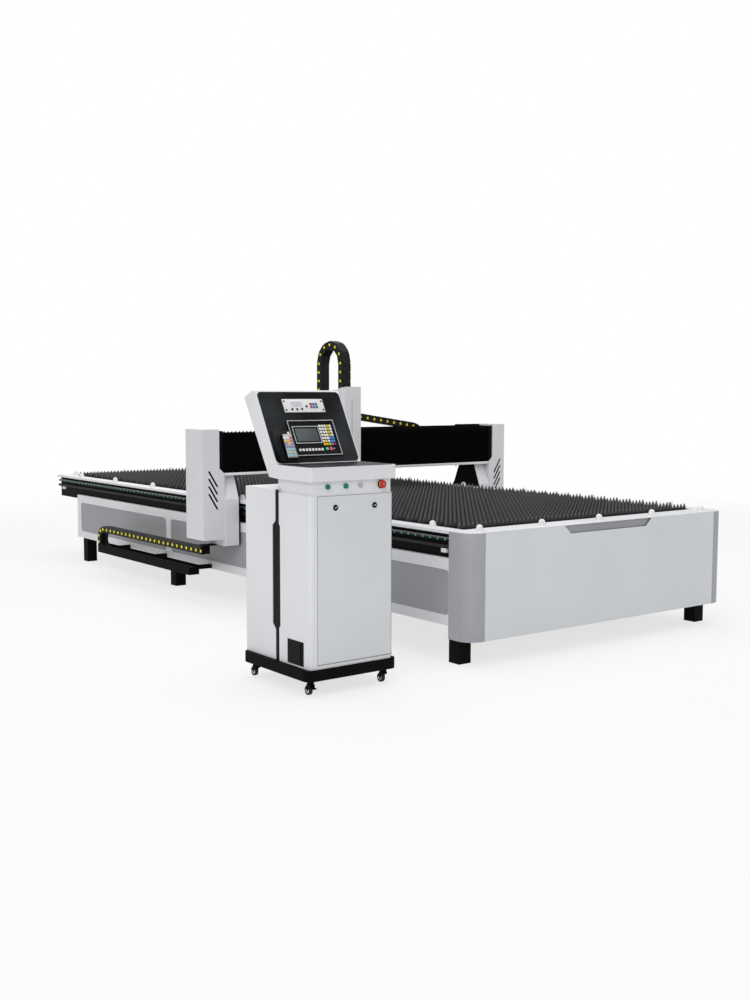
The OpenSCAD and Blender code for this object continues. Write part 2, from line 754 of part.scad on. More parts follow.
// Cover of the torch lift: sloping top, chamfered corner, slot in front and open behind
module z_cover() {
  x0 = carriage_x - zcover_w / 2;
  x1 = carriage_x + zcover_w / 2;
  cut = 30;
  drop = 22;
  back = bellows_top + 8;
  outer = [[zcover_y, zcover_z], [zcover_y, zcover_top], [plate_y, zcover_top - drop], [zcover_y1, zcover_top - drop],
    [zcover_y1, back], [plate_y - gap, back], [plate_y - gap, zcover_z]];
  inner = [[zcover_y + sheet, zcover_z - 1], [zcover_y + sheet, zcover_top - sheet],
    [plate_y, zcover_top - drop - sheet], [zcover_y1 + 1, zcover_top - drop - sheet],
    [zcover_y1 + 1, back - 1], [plate_y + 1, back - 1], [plate_y + 1, zcover_z - 1]];
  ways = [[arch_y - lift_bend_r - 31, arch_y - lift_bend_r + 31]];
  color([0.84, 0.85, 0.87]) difference() {
    yz(x0, x1, outer);
    yz(x0 + sheet, x1 - sheet, inner);
    translate([0, 0, zcover_z - 1]) linear_extrude(zcover_top) polygon([[x0 - 1, zcover_y - 1],
      [x0 + cut - 10, zcover_y - 1], [x0 - 1, zcover_y + cut - 10]]);
    block([carriage_x - 5, zcover_y - 1, zcover_z + 120], [carriage_x + 5, zcover_y + sheet + 1, zcover_top - 99]);
    block([carriage_x - lift_chain_w / 2 - 1, ways[0][0], zcover_top - 60],
      [carriage_x + lift_chain_w / 2 + 1, ways[0][1], zcover_top + 1]);
  }
  // Chamfered corner
  color([0.84, 0.85, 0.87]) translate([0, 0, zcover_z]) linear_extrude(zcover_top - zcover_z - 6)
    polygon([[x0 + cut - 10, zcover_y + sheet], [x0 + sheet, zcover_y + cut - 10], [x0, zcover_y + cut - 10],
      [x0 + cut - 10, zcover_y]]);
}

module torch_slide() {
  face = plate_y - 24;
  z0 = zcover_z - 30;
  z1 = zcover_z + 160;
  strap = carriage_x - 72;
  color([0.5, 0.51, 0.53]) {
    difference() {
      union() {
        block([zguide_x - 18, face, zcover_z + 90], [zguide_x + 18, plate_y - 4, z1]);
        block([zguide_x - 18, face - 6, z0], [screw_x + 14, face, z1]);
        translate([screw_x, screw_y, zcover_z + 110]) cylinder(r = 11, h = 30);
        block([carriage_x - 14, torch_y, z0], [carriage_x + 14, face, z0 + 34]);
        translate([carriage_x, torch_y, z0]) cylinder(r = torch_d / 2 + 8, h = 34);
        block([strap, face - 6, zcover_z + 90], [zguide_x - 18, face, z1]);
        block([strap, face - 6, z1], [strap + 8, face, arch_low]);
        block([strap, face - 6, arch_low - 8], [carriage_x + 30, arch_y - lift_bend_r + 28, arch_low]);
      }
      block([zguide_x - 7.5 - gap, plate_y - 14 - gap, zcover_z + 89], [zguide_x + 7.5 + gap, plate_y, z1 + 1]);
      translate([screw_x, screw_y, z0 - 1]) cylinder(r = screw_r + fit, h = z1 - z0 + 2);
      translate([carriage_x, torch_y, z0 - 1]) cylinder(r = torch_d / 2 + fit, h = 60);
    }
  }
}

module torch() {
  r = torch_d / 2;
  color([0.75, 0.55, 0.25]) translate([carriage_x, torch_y, torch_tip]) rotate_extrude()
    polygon([[0, 0], [4, 0], [r * 0.6, 14], [r * 0.6, 24], [r, 32], [r, 190], [r * 0.6, 196], [r * 0.6, 214], [0, 214]]);
}

// ---- Console ----

module console() { translate([console_x, console_y, 0]) children(); }

module console_plinth() {
  wall = 3;
  pad = 70;
  color([0.05, 0.05, 0.05]) console() {
    difference() {
      translate([0, 0, plinth_z]) linear_extrude(plinth_top - plinth_z) rounded(plinth_w, plinth_d, 40);
      translate([wall, wall, plinth_z - 1]) linear_extrude(plinth_top - plinth_z - 3)
        rounded(plinth_w - 2 * wall, plinth_d - 2 * wall, 40 - wall);
    }
    for (x = [caster_in, plinth_w - caster_in], y = [caster_in, plinth_d - caster_in])
      block([x - pad / 2, y - pad / 2, plinth_z], [x + pad / 2, y + pad / 2, plinth_top - 4]);
  }
}

// Side outline of the cabinet, moved inwards by t: notched at the back for the grip recess
function cabinet_side(t) = [[cab_y[0] + t, plinth_top + t], [cab_y[0] + t, cab_top - t], [cab_y[1] - t, cab_top - t],
  [cab_y[1] - t, cab_top - 147], [cab_y[1] - 24 - t, cab_top - 177], [cab_y[1] - 24 - t, plinth_top + 190],
  [cab_y[1] - t, plinth_top + 160], [cab_y[1] - t, plinth_top + t]];
function rear_side(t) = [[rear_y0 + t, plinth_top + t], [rear_y0 + t, plinth_top + 160],
  [rear_y0 + 34 + t, plinth_top + 190], [rear_y0 + 34 + t, cab_top - 177], [rear_y0 + t, cab_top - 147],
  [rear_y0 + t, cab_top + 16 - t], [plinth_d - 4 - t, cab_top + 16 - t], [plinth_d - 4 - t, plinth_top + t]];

// Front cabinet with a door opening, a fan opening, and ears that the door's hinge pins turn in
module console_cabinet() {
  color([0.87, 0.88, 0.89]) console() difference() {
    union() {
      cabinet_shell();
      for (x = [door_x[0] - 8, door_x[1]])
        block([x, cab_y[0] + sheet, hinge_at[1] - 8], [x + 8, cab_y[0] + 12, hinge_at[1] + 8]);
    }
    block([door_x[0], cab_y[0] - 1, door_z[0]], [door_x[1], cab_y[0] + 22, door_z[1]]);
    bar_x([door_x[0] - 9, hinge_at[0], hinge_at[1]], pin_r + fit, door_x[1] - door_x[0] + 17);
    translate([cab_x[0] - 1, 155, plinth_top + 72]) rotate([0, 90, 0]) cylinder(r = 54, h = sheet + 2);
  }
}

module cabinet_shell() {
  difference() {
    intersection() {
      yz(cab_x[0], cab_x[1], cabinet_side(0));
      translate([cab_x[0], cab_y[0], 0]) linear_extrude(cab_top + 1) rounded(cab_x[1] - cab_x[0], 400, 22);
    }
    intersection() {
      yz(cab_x[0] + sheet, cab_x[1] - sheet, cabinet_side(sheet));
      translate([cab_x[0] + sheet, cab_y[0] + sheet, 0]) linear_extrude(cab_top + 1)
        rounded(cab_x[1] - cab_x[0] - 2 * sheet, 400, 22 - sheet);
    }
  }
}

module console_rear_box() {
  color([0.87, 0.88, 0.89]) console() difference() {
    yz(cab_x[0], cab_x[1], rear_side(0));
    yz(cab_x[0] + sheet, cab_x[1] - sheet, rear_side(sheet));
  }
}

// Black strips in the recess between the boxes, and the fan grille on the left side
module console_trims() {
  reach = 6;
  points = [[cab_y[1], plinth_top], [rear_y0, plinth_top], [rear_y0, plinth_top + 160], [rear_y0 + 34, plinth_top + 190],
    [rear_y0 + 34, cab_top - 177], [rear_y0, cab_top - 147], [rear_y0, cab_top], [cab_y[1], cab_top],
    [cab_y[1], cab_top - 147], [cab_y[1] - 24, cab_top - 177], [cab_y[1] - 24, plinth_top + 190],
    [cab_y[1], plinth_top + 160]];
  size = 120;
  color([0.05, 0.05, 0.05]) console() {
    yz(cab_x[0] + reach, cab_x[0] + 2 * reach, points);
    yz(cab_x[1] - 2 * reach, cab_x[1] - reach, points);
    difference() {
      block([cab_x[0] - 5, 155 - size / 2, plinth_top + 12], [cab_x[0], 155 + size / 2, plinth_top + 12 + size]);
      for (k = [-4:4]) block([cab_x[0] - 6, 155 - 48, plinth_top + 70 + k * 11],
        [cab_x[0] + 1, 155 + 48, plinth_top + 75 + k * 11]);
    }
  }
}

module console_neck() {
  color([0.87, 0.88, 0.89]) console() difference() {
    tube([cab_x[0] + 16, 15, cab_top], [cab_x[1] - 16, 330, head_z], 2, sheet);
    for (k = [0:3]) bar_y([console_mid + button_dx[k], 14, button_z], k == 3 ? 12 : button_d / 2 + gap, sheet + 2);
  }
}

function head_side() = let (top = [desk_l + fascia_l * cos(fascia_angle), desk_z + fascia_l * sin(fascia_angle)])
  [[0, head_z], [0, desk_z], [desk_l, desk_z], top, top + [21, 3], top + [107, -35], [388, head_z + 6], [298, head_z]];

module console_head() {
  t = sheet;
  pts = head_side();
  color([0.87, 0.88, 0.89]) console() difference() {
    yz(head_x[0], head_x[1], pts);
    yz(head_x[0] + t, head_x[1] - t, [pts[0] + [t, t], pts[1] + [t, -t], pts[2] + [1, -t], pts[3] + [2, -t],
      pts[4] + [0, -t], pts[5] + [-2 * t, 0], pts[6] + [-t, t], pts[7] + [0, t]]);
    for (s = [0, 1]) translate([s == 0 ? head_x[0] : head_x[1], 0, head_z - 1]) linear_extrude(desk_z - head_z + 2)
      polygon([[s == 0 ? -1 : 1, -1], [s == 0 ? 12 : -12, -1], [s == 0 ? -1 : 1, 12]]);
  }
}

// Places a piece on the sloping fascia: x along the console, y up the slope
module on_fascia() {
  console() translate([0, desk_l, desk_z]) rotate([fascia_angle, 0, 0]) translate([0, 0, fit]) children();
}

module fascia() {
  rim = 8;
  plate = 3;
  color([0.16, 0.17, 0.18]) {
    on_fascia() translate([head_x[0] + rim, 6, 0]) linear_extrude(plate)
      rounded(head_x[1] - head_x[0] - 2 * rim, fascia_l - 14, 26);
    console() translate([0, 0, desk_z]) linear_extrude(2) polygon([[head_x[0] + 30, 6], [head_x[1] - 30, 6],
      [head_x[1] - 6, 30], [head_x[1] - 6, desk_l - 6], [head_x[0] + 6, desk_l - 6], [head_x[0] + 6, 30]]);
    // Cradle of the handset: a rail and a foot
    on_fascia() {
      block([44, 12, plate], [80, 196, plate + 16]);
      block([80, 12, plate], [168, 20, plate + 16]);
    }
  }
}

module height_control() {
  color([0.86, 0.87, 0.87]) on_fascia() difference() {
    block([170, 308, 3], [432, 395, 8]);
    block([217, 352, 6.5], [280, 372, 9]);
  }
}

module controller() {
  color([0.12, 0.12, 0.13]) on_fascia() {
    difference() {
      block([165, 47, 3], [467, 262, 11]);
      block([171, 53, 9.5], [461, 256, 12]);
      block([193, 128, 7], [340, 213, 12]);
    }
    // Key blocks
    for (x = [0:3], y = [0:3]) block([359 + x * 21, 151 + y * 20, 9.5], [376 + x * 21, 167 + y * 20, 12]);
    for (k = [0:7]) block([193 + k * 19.5, 75, 9.5], [207 + k * 19.5, 92, 12]);
    for (x = [0:1], y = [0:1]) block([362 + x * 23, 101 + y * 17, 9.5], [382 + x * 23, 115 + y * 17, 12]);
    for (x = [0:1], y = [0:2]) block([413 + x * 17, 106 + y * 15, 9.5], [428 + x * 17, 119 + y * 15, 12]);
  }
}

module handset() {
  color([0.55, 0.56, 0.58]) on_fascia() translate([84, 20.3, 3]) {
    linear_extrude(26) rounded(80, 176, 14);
    for (x = [0:2], y = [0:6]) block([10 + x * 21, 14 + y * 20, 26], [27 + x * 21, 29 + y * 20, 28]);
  }
}

// Collars of the buttons, the round cap beside them, and the yellow ring of the stop button
module panel_fittings() {
  color([0.6, 0.62, 0.62]) console() {
    for (k = [0:1]) difference() {
      bar_y([console_mid + button_dx[k], 12, button_z], button_d / 2 + 4, 3);
      bar_y([console_mid + button_dx[k], 11, button_z], button_d / 2 + gap, 5);
    }
    bar_y([console_mid + button_dx[2], 12, button_z], button_d / 2 + 2, 3);
    bar_y([console_mid + button_dx[2], 15, button_z], button_d / 2, 14);
  }
  color([0.9, 0.75, 0.1]) console() difference() {
    bar_y([console_mid + button_dx[3], 9, button_z], 24, 6);
    bar_y([console_mid + button_dx[3], 8, button_z], 12, 8);
  }
}

module push_button(dx) {
  travel = 4;
  console() {
    bar_y([console_mid + dx, 4, button_z], button_d / 2, 30);
    bar_y([console_mid + dx, 4 - travel, button_z], button_d / 2 - 3, travel);
  }
}
module button_start() { color([0.05, 0.55, 0.4]) push_button(button_dx[0]); }
module button_stop() { color([0.05, 0.55, 0.4]) push_button(button_dx[1]); }

module estop_button() {
  color([0.85, 0.08, 0.08]) console() translate([console_mid + button_dx[3], 3, button_z]) rotate([90, 0, 0]) {
    rotate_extrude() polygon([[0, -34], [11.7, -34], [11.7, 0], [20, 0], [20, 8], [15, 14], [0, 16]]);
  }
}

module electrics() {
  color([0.45, 0.46, 0.48]) console() {
    block([60, 270, plinth_top + 60], [plinth_w - 60, 273, cab_top - 60]);
    block([cab_x[0] + sheet, 268, plinth_top + 200], [60, 276, plinth_top + 230]);
    block([plinth_w - 60, 268, plinth_top + 200], [cab_x[1] - sheet, 276, plinth_top + 230]);
    for (k = [0:2]) block([90 + k * 140, 190, cab_top - 330], [200 + k * 140, 270, cab_top - 130]);
    block([90, 200, plinth_top + 260], [plinth_w - 90, 270, plinth_top + 420]);
  }
}

// Door with two locks near its top edge; its lower edge is rolled round the hinge pins
module console_door() {
  t = 18;
  x0 = door_x[0] + gap;
  x1 = door_x[1] - gap;
  z0 = door_z[0] + gap;
  color([0.87, 0.88, 0.89]) console() difference() {
    union() {
      block([x0, cab_y[0], z0 + hinge_r], [x1, cab_y[0] + t, door_z[1] - gap]);
      block([x0, hinge_at[0], z0], [x1, cab_y[0] + t, z0 + hinge_r]);
      bar_x([x0, hinge_at[0], hinge_at[1]], hinge_r, x1 - x0);
      bar_x([x0 - 7, hinge_at[0], hinge_at[1]], pin_r, x1 - x0 + 14);
    }
    block([x0 + sheet, cab_y[0] + sheet, z0 + 2 * hinge_r + sheet],
      [x1 - sheet, cab_y[0] + t + 1, door_z[1] - gap - sheet]);
    for (s = [-1, 1]) bar_y([(x0 + x1) / 2 + s * lock_dx, cab_y[0] - 1, lock_z], lock_r + fit, 10);
  }
}

// Lock barrel with its cam
module lock(s) {
  x = (door_x[0] + door_x[1]) / 2 + s * lock_dx;
  color([0.65, 0.66, 0.67]) console() {
    difference() {
      union() {
        bar_y([x, cab_y[0] - 3, lock_z], lock_r, 20);
        bar_y([x, cab_y[0] - 3.2, lock_z], lock_r + 3, 2.9);
      }
      block([x - 6, cab_y[0] - 4, lock_z - 1.5], [x + 6, cab_y[0] - 0.5, lock_z + 1.5]);
    }
    block([x - 8, cab_y[0] + 14, lock_z - 8], [x + 34, cab_y[0] + 17, lock_z + 8]);
  }
}
module lock_left() { lock(-1); }
module lock_right() { lock(1); }

// Casters: 1 front left, 2 front right, 3 rear left, 4 rear right
caster_at = [[caster_in, caster_in], [plinth_w - caster_in, caster_in], [caster_in, plinth_d - caster_in],
  [plinth_w - caster_in, plinth_d - caster_in]];
wheel_w = 20;
axle_r = 4;
brake_at = [-11, wheel_d + 1];

module caster_fork(k) {
  r = wheel_d / 2;
  top = plinth_z - gap;
  cheek = wheel_w / 2 + 1;
  color([0.08, 0.08, 0.08]) console() translate([caster_at[k][0], caster_at[k][1], 0]) {
    translate([0, 0, top - 8]) cylinder(r = 24, h = 8);
    translate([0, 0, r + r + 6]) cylinder(r = 18, h = top - 8 - r - r - 6);
    difference() {
      for (s = [0, 1]) mirror([s, 0, 0]) yz(cheek, cheek + 4, [[-16, r + r - 4], [-16, r + r + 10],
        [16, r + r + 10], [caster_off + 9, r], [caster_off, r - 9], [caster_off - 9, r], [-4, r + r - 4]]);
      if (k == 0) bar_x([-cheek - 5, brake_at[0], brake_at[1]], pin_r + fit, 2 * cheek + 10);
    }
    bar_x([-cheek - 4, caster_off, r], axle_r, 2 * cheek + 8);
    block([-cheek - 4, -4, r + r + 6], [cheek + 4, 16, r + r + 10]);
  }
}

module caster_wheel(k) {
  r = wheel_d / 2;
  color([0.1, 0.1, 0.1]) console() translate([caster_at[k][0] - wheel_w / 2, caster_at[k][1] + caster_off, r])
    rotate([0, 90, 0]) difference() {
      rotate_extrude() polygon([[axle_r + fit, 0], [r - 8, 0], [r - 7, 2], [r - 3, 2], [r, 5], [r, wheel_w - 5],
        [r - 3, wheel_w - 2], [r - 7, wheel_w - 2], [r - 8, wheel_w], [axle_r + fit, wheel_w]]);
    }
}

module caster_fork_1() { caster_fork(0); }
module caster_fork_2() { caster_fork(1); }
module caster_fork_3() { caster_fork(2); }
module caster_fork_4() { caster_fork(3); }
module caster_wheel_1() { caster_wheel(0); }
module caster_wheel_2() { caster_wheel(1); }
module caster_wheel_3() { caster_wheel(2); }
module caster_wheel_4() { caster_wheel(3); }

// Brake pedal on the first caster, with its pin in the fork
module brake_lever() {
  r = wheel_d / 2;
  reach = wheel_w / 2 + 5;
  color([0.08, 0.08, 0.08]) console() translate([caster_at[0][0], caster_at[0][1], 0]) {
    yz(-wheel_w / 2, wheel_w / 2, [[brake_at[0], brake_at[1] - 3], [-30, r + 14], [-42, r + 14],
      [-42, r + 18], [-31, r + 18], [brake_at[0] - 3, brake_at[1] + 3]]);
    bar_x([-wheel_w / 2, brake_at[0], brake_at[1]], 4.5, wheel_w);
    bar_x([-reach, brake_at[0], brake_at[1]], pin_r, 2 * reach);
  }
}

feet();
table_frame();
rail_beams();
grey_panels();
corner_posts();
front_panel();
top_covers();
slats();
slat_racks();
slag_trays();
ball_units();
y_guides();
y_chain();
y_chain_tray();
console_plinth();
console_cabinet();
console_rear_box();
console_trims();
console_neck();
console_head();
fascia();
height_control();
controller();
handset();
panel_fittings();
electrics();
console_door();
lock_left();
lock_right();
button_start();
button_stop();
estop_button();
caster_fork_1();
caster_fork_2();
caster_fork_3();
caster_fork_4();
caster_wheel_1();
caster_wheel_2();
caster_wheel_3();
caster_wheel_4();
brake_lever();
gantry_beam();
gantry_legs();
leg_plates();
upright_covers();
bellows();
x_guides();
chain_tray();
x_chain();
y_drives();
pinion_left();
pinion_right();
carriage_plate();
z_cover();
z_chain();
axis_motors();
x_pinion();
z_screw();
torch_slide();
torch();
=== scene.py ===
import math
from functools import partial
from itertools import accumulate
from types import SimpleNamespace

import bmesh
import bpy
from mathutils import Matrix, Vector


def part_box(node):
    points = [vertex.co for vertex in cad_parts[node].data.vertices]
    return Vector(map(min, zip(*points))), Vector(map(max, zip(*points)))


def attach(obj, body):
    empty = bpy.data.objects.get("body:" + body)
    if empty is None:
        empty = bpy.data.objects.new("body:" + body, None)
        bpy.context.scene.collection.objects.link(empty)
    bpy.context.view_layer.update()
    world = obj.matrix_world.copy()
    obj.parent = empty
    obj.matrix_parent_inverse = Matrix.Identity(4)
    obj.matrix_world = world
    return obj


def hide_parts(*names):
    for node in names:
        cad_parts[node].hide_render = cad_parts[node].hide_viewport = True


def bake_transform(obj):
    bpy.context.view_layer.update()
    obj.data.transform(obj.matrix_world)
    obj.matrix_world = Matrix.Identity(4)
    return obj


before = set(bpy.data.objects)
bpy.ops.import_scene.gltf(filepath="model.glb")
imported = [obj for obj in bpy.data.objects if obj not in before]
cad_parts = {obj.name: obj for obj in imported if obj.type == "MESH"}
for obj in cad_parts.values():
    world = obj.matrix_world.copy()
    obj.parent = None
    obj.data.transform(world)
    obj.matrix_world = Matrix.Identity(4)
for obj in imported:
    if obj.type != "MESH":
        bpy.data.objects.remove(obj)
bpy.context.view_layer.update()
scene = bpy.context.scene
unit = 0.001  # sizes below are in millimetres and Blender works in metres
print("frame loaded")


# Working helpers. Everything is deselected before a new primitive comes in.

def clearSelection():
    bpy.ops.object.select_all(action="DESELECT")


def activate(piece):
    clearSelection()
    piece.select_set(True)
    bpy.context.view_layer.objects.active = piece
    return piece


def fresh(name):  # names the new primitive and puts its place into its mesh
    piece = activate(bpy.context.object)
    piece.name = name
    bpy.ops.object.transform_apply(location=True, rotation=True, scale=True)
    return piece


def block(name, low, high):
    clearSelection()
    low, high = zip(*(sorted(pair) for pair in zip(low, high)))
    middle = [(a + b) / 2 * unit for a, b in zip(low, high)]
    size = [(b - a) * unit for a, b in zip(low, high)]
    bpy.ops.mesh.primitive_cube_add(size=1, location=middle, scale=size)
    return fresh(name)


axisTurns = {"X": (0, math.pi / 2, 0), "Y": (-math.pi / 2, 0, 0), "Z": (0, 0, 0)}


def cone(name, foot, radii, length, axis="Z", sides=24):  # round bar with both its radii, from its foot
    clearSelection()
    low, high = radii if length > 0 else radii[::-1]
    middle = Vector(foot) + Vector([length / 2 if axis == letter else 0 for letter in "XYZ"])
    bpy.ops.mesh.primitive_cone_add(
        vertices=sides, radius1=low * unit, radius2=high * unit, depth=abs(length) * unit,
        location=middle * unit, rotation=axisTurns[axis])
    return fresh(name)


def rod(name, foot, radius, length, axis="Z", sides=24):
    return cone(name, foot, (radius, radius), length, axis, sides)


def facing(side):  # the test of a face's middle and normal that a side such as "+z", "y" or "" stands for
    if callable(side):
        return side
    axis = "xyz".find(side[-1:])
    if side[:1] in ("+", "-"):
        return lambda centre, normal: normal[axis] * float(side[0] + "1") > 0.9
    return lambda centre, normal: not side or abs(normal[axis]) > 0.9


def carve(piece, side, *steps):  # works through steps on the faces that look to one side
    activate(piece)
    bpy.ops.object.mode_set(mode="EDIT")
    bpy.ops.mesh.select_mode(type="FACE")
    bpy.ops.mesh.select_all(action="DESELECT")
    mesh = bmesh.from_edit_mesh(piece.data)
    mesh.normal_update()
    chosen = facing(side)
    for face in mesh.faces:
        face.select_set(bool(chosen(face.calc_center_median() / unit, face.normal)))
    bmesh.update_edit_mesh(piece.data)
    for step in steps:
        step()
    bpy.ops.object.mode_set(mode="OBJECT")
    return piece


def push(x=0, y=0, z=0):  # extrudes the faces
    move = {"value": (x * unit, y * unit, z * unit)}
    return partial(bpy.ops.mesh.extrude_region_move, TRANSFORM_OT_translate=move)


def narrow(x=1, y=1, z=1, **about):  # draws the faces in about their middle
    return partial(bpy.ops.transform.resize, value=(x, y, z), **about)


def rim(width, depth=0):
    return partial(bpy.ops.mesh.inset, thickness=width * unit, depth=depth * unit)


cut = partial(bpy.ops.mesh.delete, type="FACE")


def modify(piece, kind, **settings):
    modifier = activate(piece).modifiers.new(kind.title(), kind)
    for key, value in settings.items():
        setattr(modifier, key, value)
    bpy.ops.object.modifier_apply(modifier=modifier.name)
    return piece


def smooth(piece, angle=35):
    activate(piece)
    bpy.ops.object.shade_smooth_by_angle(angle=math.radians(angle))
    return piece


def bevel(piece, width, segments=2, angle=30):
    return modify(piece, "BEVEL", width=width * unit, segments=segments, limit_method="ANGLE",
                  angle_limit=math.radians(angle))


def soften(piece, width, segments=2, angle=30):
    return smooth(bevel(piece, width, segments, angle))


def placed(piece, matrix):
    piece.data.transform(matrix)
    piece.data.update()
    return piece


def copyOf(piece, matrix=Matrix.Identity(4)):
    twin = piece.copy()
    twin.data = piece.data.copy()
    scene.collection.objects.link(twin)
    return placed(twin, matrix)


def shift(x=0, y=0, z=0):
    return Matrix.Translation(Vector((x, y, z)) * unit)


def turn(degrees, axis):
    return Matrix.Rotation(math.radians(degrees), 4, axis)


def mirror(piece, axis=(1, 0, 0)):  # the same piece on the other side, facing outwards again
    return carve(copyOf(piece, Matrix.Scale(-1, 4, axis)), "", bpy.ops.mesh.flip_normals)


def joined(name, pieces):
    activate(pieces[0])
    for piece in pieces[1:]:
        piece.select_set(True)
    if len(pieces) > 1:
        bpy.ops.object.join()
    whole = bpy.context.object
    whole.name = whole.data.name = name
    return whole


def bothSides(name, pieces):
    right = joined(name, pieces)
    return joined(name, [right, mirror(right)])


def drop(*pieces):
    for piece in pieces:
        bpy.data.objects.remove(piece)


def repeated(piece, places):  # copies at places, in exchange for the piece
    copies = [copyOf(piece, matrix) for matrix in places]
    drop(piece)
    return copies


def boxOf(node):
    return [[value / unit for value in corner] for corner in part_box(node)]


def middleOf(node):
    return [(a + b) / 2 for a, b in zip(*boxOf(node))]


def paint(piece, finish):
    piece.data.materials.clear()
    piece.data.materials.append(finishes[finish])
    return piece


def hand(piece, finish, body="table", replaces="", name=None):  # a finished piece goes to its body
    piece.name = piece.data.name = name or piece.name
    paint(piece, finish)
    if isinstance(body, str):
        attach(piece, body)
    else:
        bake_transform(piece)
    if replaces:
        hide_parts(replaces)
    return piece


camera = {"place": (-5.5105, -7.6115, 1.55), "yaw": 37.25, "pitch": 5.19, "roll": 0.14, "lens": 42.381}

bpy.ops.object.camera_add()
eye = bpy.context.object
eye.name = "camera"
eye.matrix_world = (Matrix.Translation(camera["place"]) @ turn(-camera["yaw"], "Z")
                    @ turn(90 - camera["pitch"], "X") @ turn(camera["roll"], "Z"))
eye.data.lens = camera["lens"]
eye.data.sensor_width = 36
eye.data.sensor_fit = "AUTO"
eye.data.clip_end = 200
scene.camera = eye
print("camera placed")


finishes = {}


def shade(code):  # sRGB hex to linear
    values = [int(code[k:k + 2], 16) / 255 for k in (1, 3, 5)]
    return [v / 12.92 if v <= 0.04045 else ((v + 0.055) / 1.055) ** 2.4 for v in values] + [1.0]


def darker(code, share):
    return "#" + "".join(f"{int(int(code[k:k + 2], 16) * share):02x}" for k in (1, 3, 5))


def addNode(owner, kind, links=None, **settings):
    node = owner.node_tree.nodes.new("ShaderNode" + kind)
    for key, value in settings.items():
        setattr(node, key, value)
    for key, value in (links or {}).items():
        if isinstance(value, bpy.types.NodeSocket):
            owner.node_tree.links.new(value, node.inputs[key])
        else:
            node.inputs[key].default_value = value
    return node


def newFinish(key, name, roughness, metallic=0.0, **values):
    finishes[key] = material = bpy.data.materials.new(name)
    material.use_nodes = True
    shader = material.node_tree.nodes["Principled BSDF"]
    for socket, value in {"Roughness": roughness, "Metallic": metallic, **values}.items():
        shader.inputs[socket.replace("_", " ")].default_value = value
    skin = SimpleNamespace(node_tree=material.node_tree, shader=shader)
    skin.at = addNode(skin, "TexCoord").outputs["Object"]
    return skin


def feed(skin, source, socket):
    skin.node_tree.links.new(source, skin.shader.inputs[socket])


def patches(skin, scale, detail, stretch):
    mapped = addNode(skin, "Mapping", {"Vector": skin.at, "Scale": stretch}).outputs["Vector"]
    return addNode(skin, "TexNoise", {"Vector": mapped, "Scale": scale, "Detail": detail}).outputs["Fac"]


def mottle(skin, colours, scale, detail=4.0, spread=(0.35, 0.65), stretch=(1, 1, 1)):
    # colour drifting between two tones over patches of a real size
    noise = patches(skin, scale, detail, stretch)
    ramp = addNode(skin, "ValToRGB", {"Fac": noise})
    for element, position, code in zip(ramp.color_ramp.elements, spread, colours):
        element.position, element.color = position, shade(code)
    feed(skin, ramp.outputs["Color"], "Base Color")
    return noise, ramp.outputs["Color"]


def grain(skin, scale, strength, depth, stretch=(1, 1, 1)):
    height = patches(skin, scale, 2.0, stretch)
    bump = addNode(skin, "Bump", {"Height": height, "Strength": strength, "Distance": depth})
    feed(skin, bump.outputs["Normal"], "Normal")


def vary(skin, source, low, high):  # roughness following a pattern
    spread = addNode(skin, "MapRange", {"Value": source, "To Min": low, "To Max": high})
    feed(skin, spread.outputs["Result"], "Roughness")


def powderCoat(key, name, light, dark, roughness, gloss=0.5):
    # polyester powder coat, sprayed and baked: satin, with a fine orange peel of about 2 mm
    skin = newFinish(key, name + " powder coat", roughness, IOR=1.5, Specular_IOR_Level=gloss)
    noise, _ = mottle(skin, (dark, light), 1.6, spread=(0.3, 0.6))
    grain(skin, 450, 0.12, 0.0004)
    vary(skin, noise, roughness - 0.05, roughness + 0.05)


def mouldedPlastic(key, name, code, roughness, gloss=0.5):
    # injection moulded ABS: even colour with a faint flow haze and a fine spark-eroded grain
    skin = newFinish(key, name + " moulded plastic", roughness, IOR=1.53, Specular_IOR_Level=gloss)
    mottle(skin, (darker(code, 0.93), code), 60, detail=2)
    grain(skin, 1400, 0.08, 0.0001)


def groundSteel(key, name, code, roughness, along, metallic=1.0):
    # steel ground along one direction: fine lines about 1 mm apart that draw the highlights out
    skin = newFinish(key, name, roughness, metallic)
    stretch = [1 if axis == along else 40 for axis in "XYZ"]
    noise, _ = mottle(skin, (darker(code, 0.88), code), 6, stretch=stretch)
    grain(skin, 25, 0.1, 0.0003, stretch)
    vary(skin, noise, roughness - 0.06, roughness + 0.1)


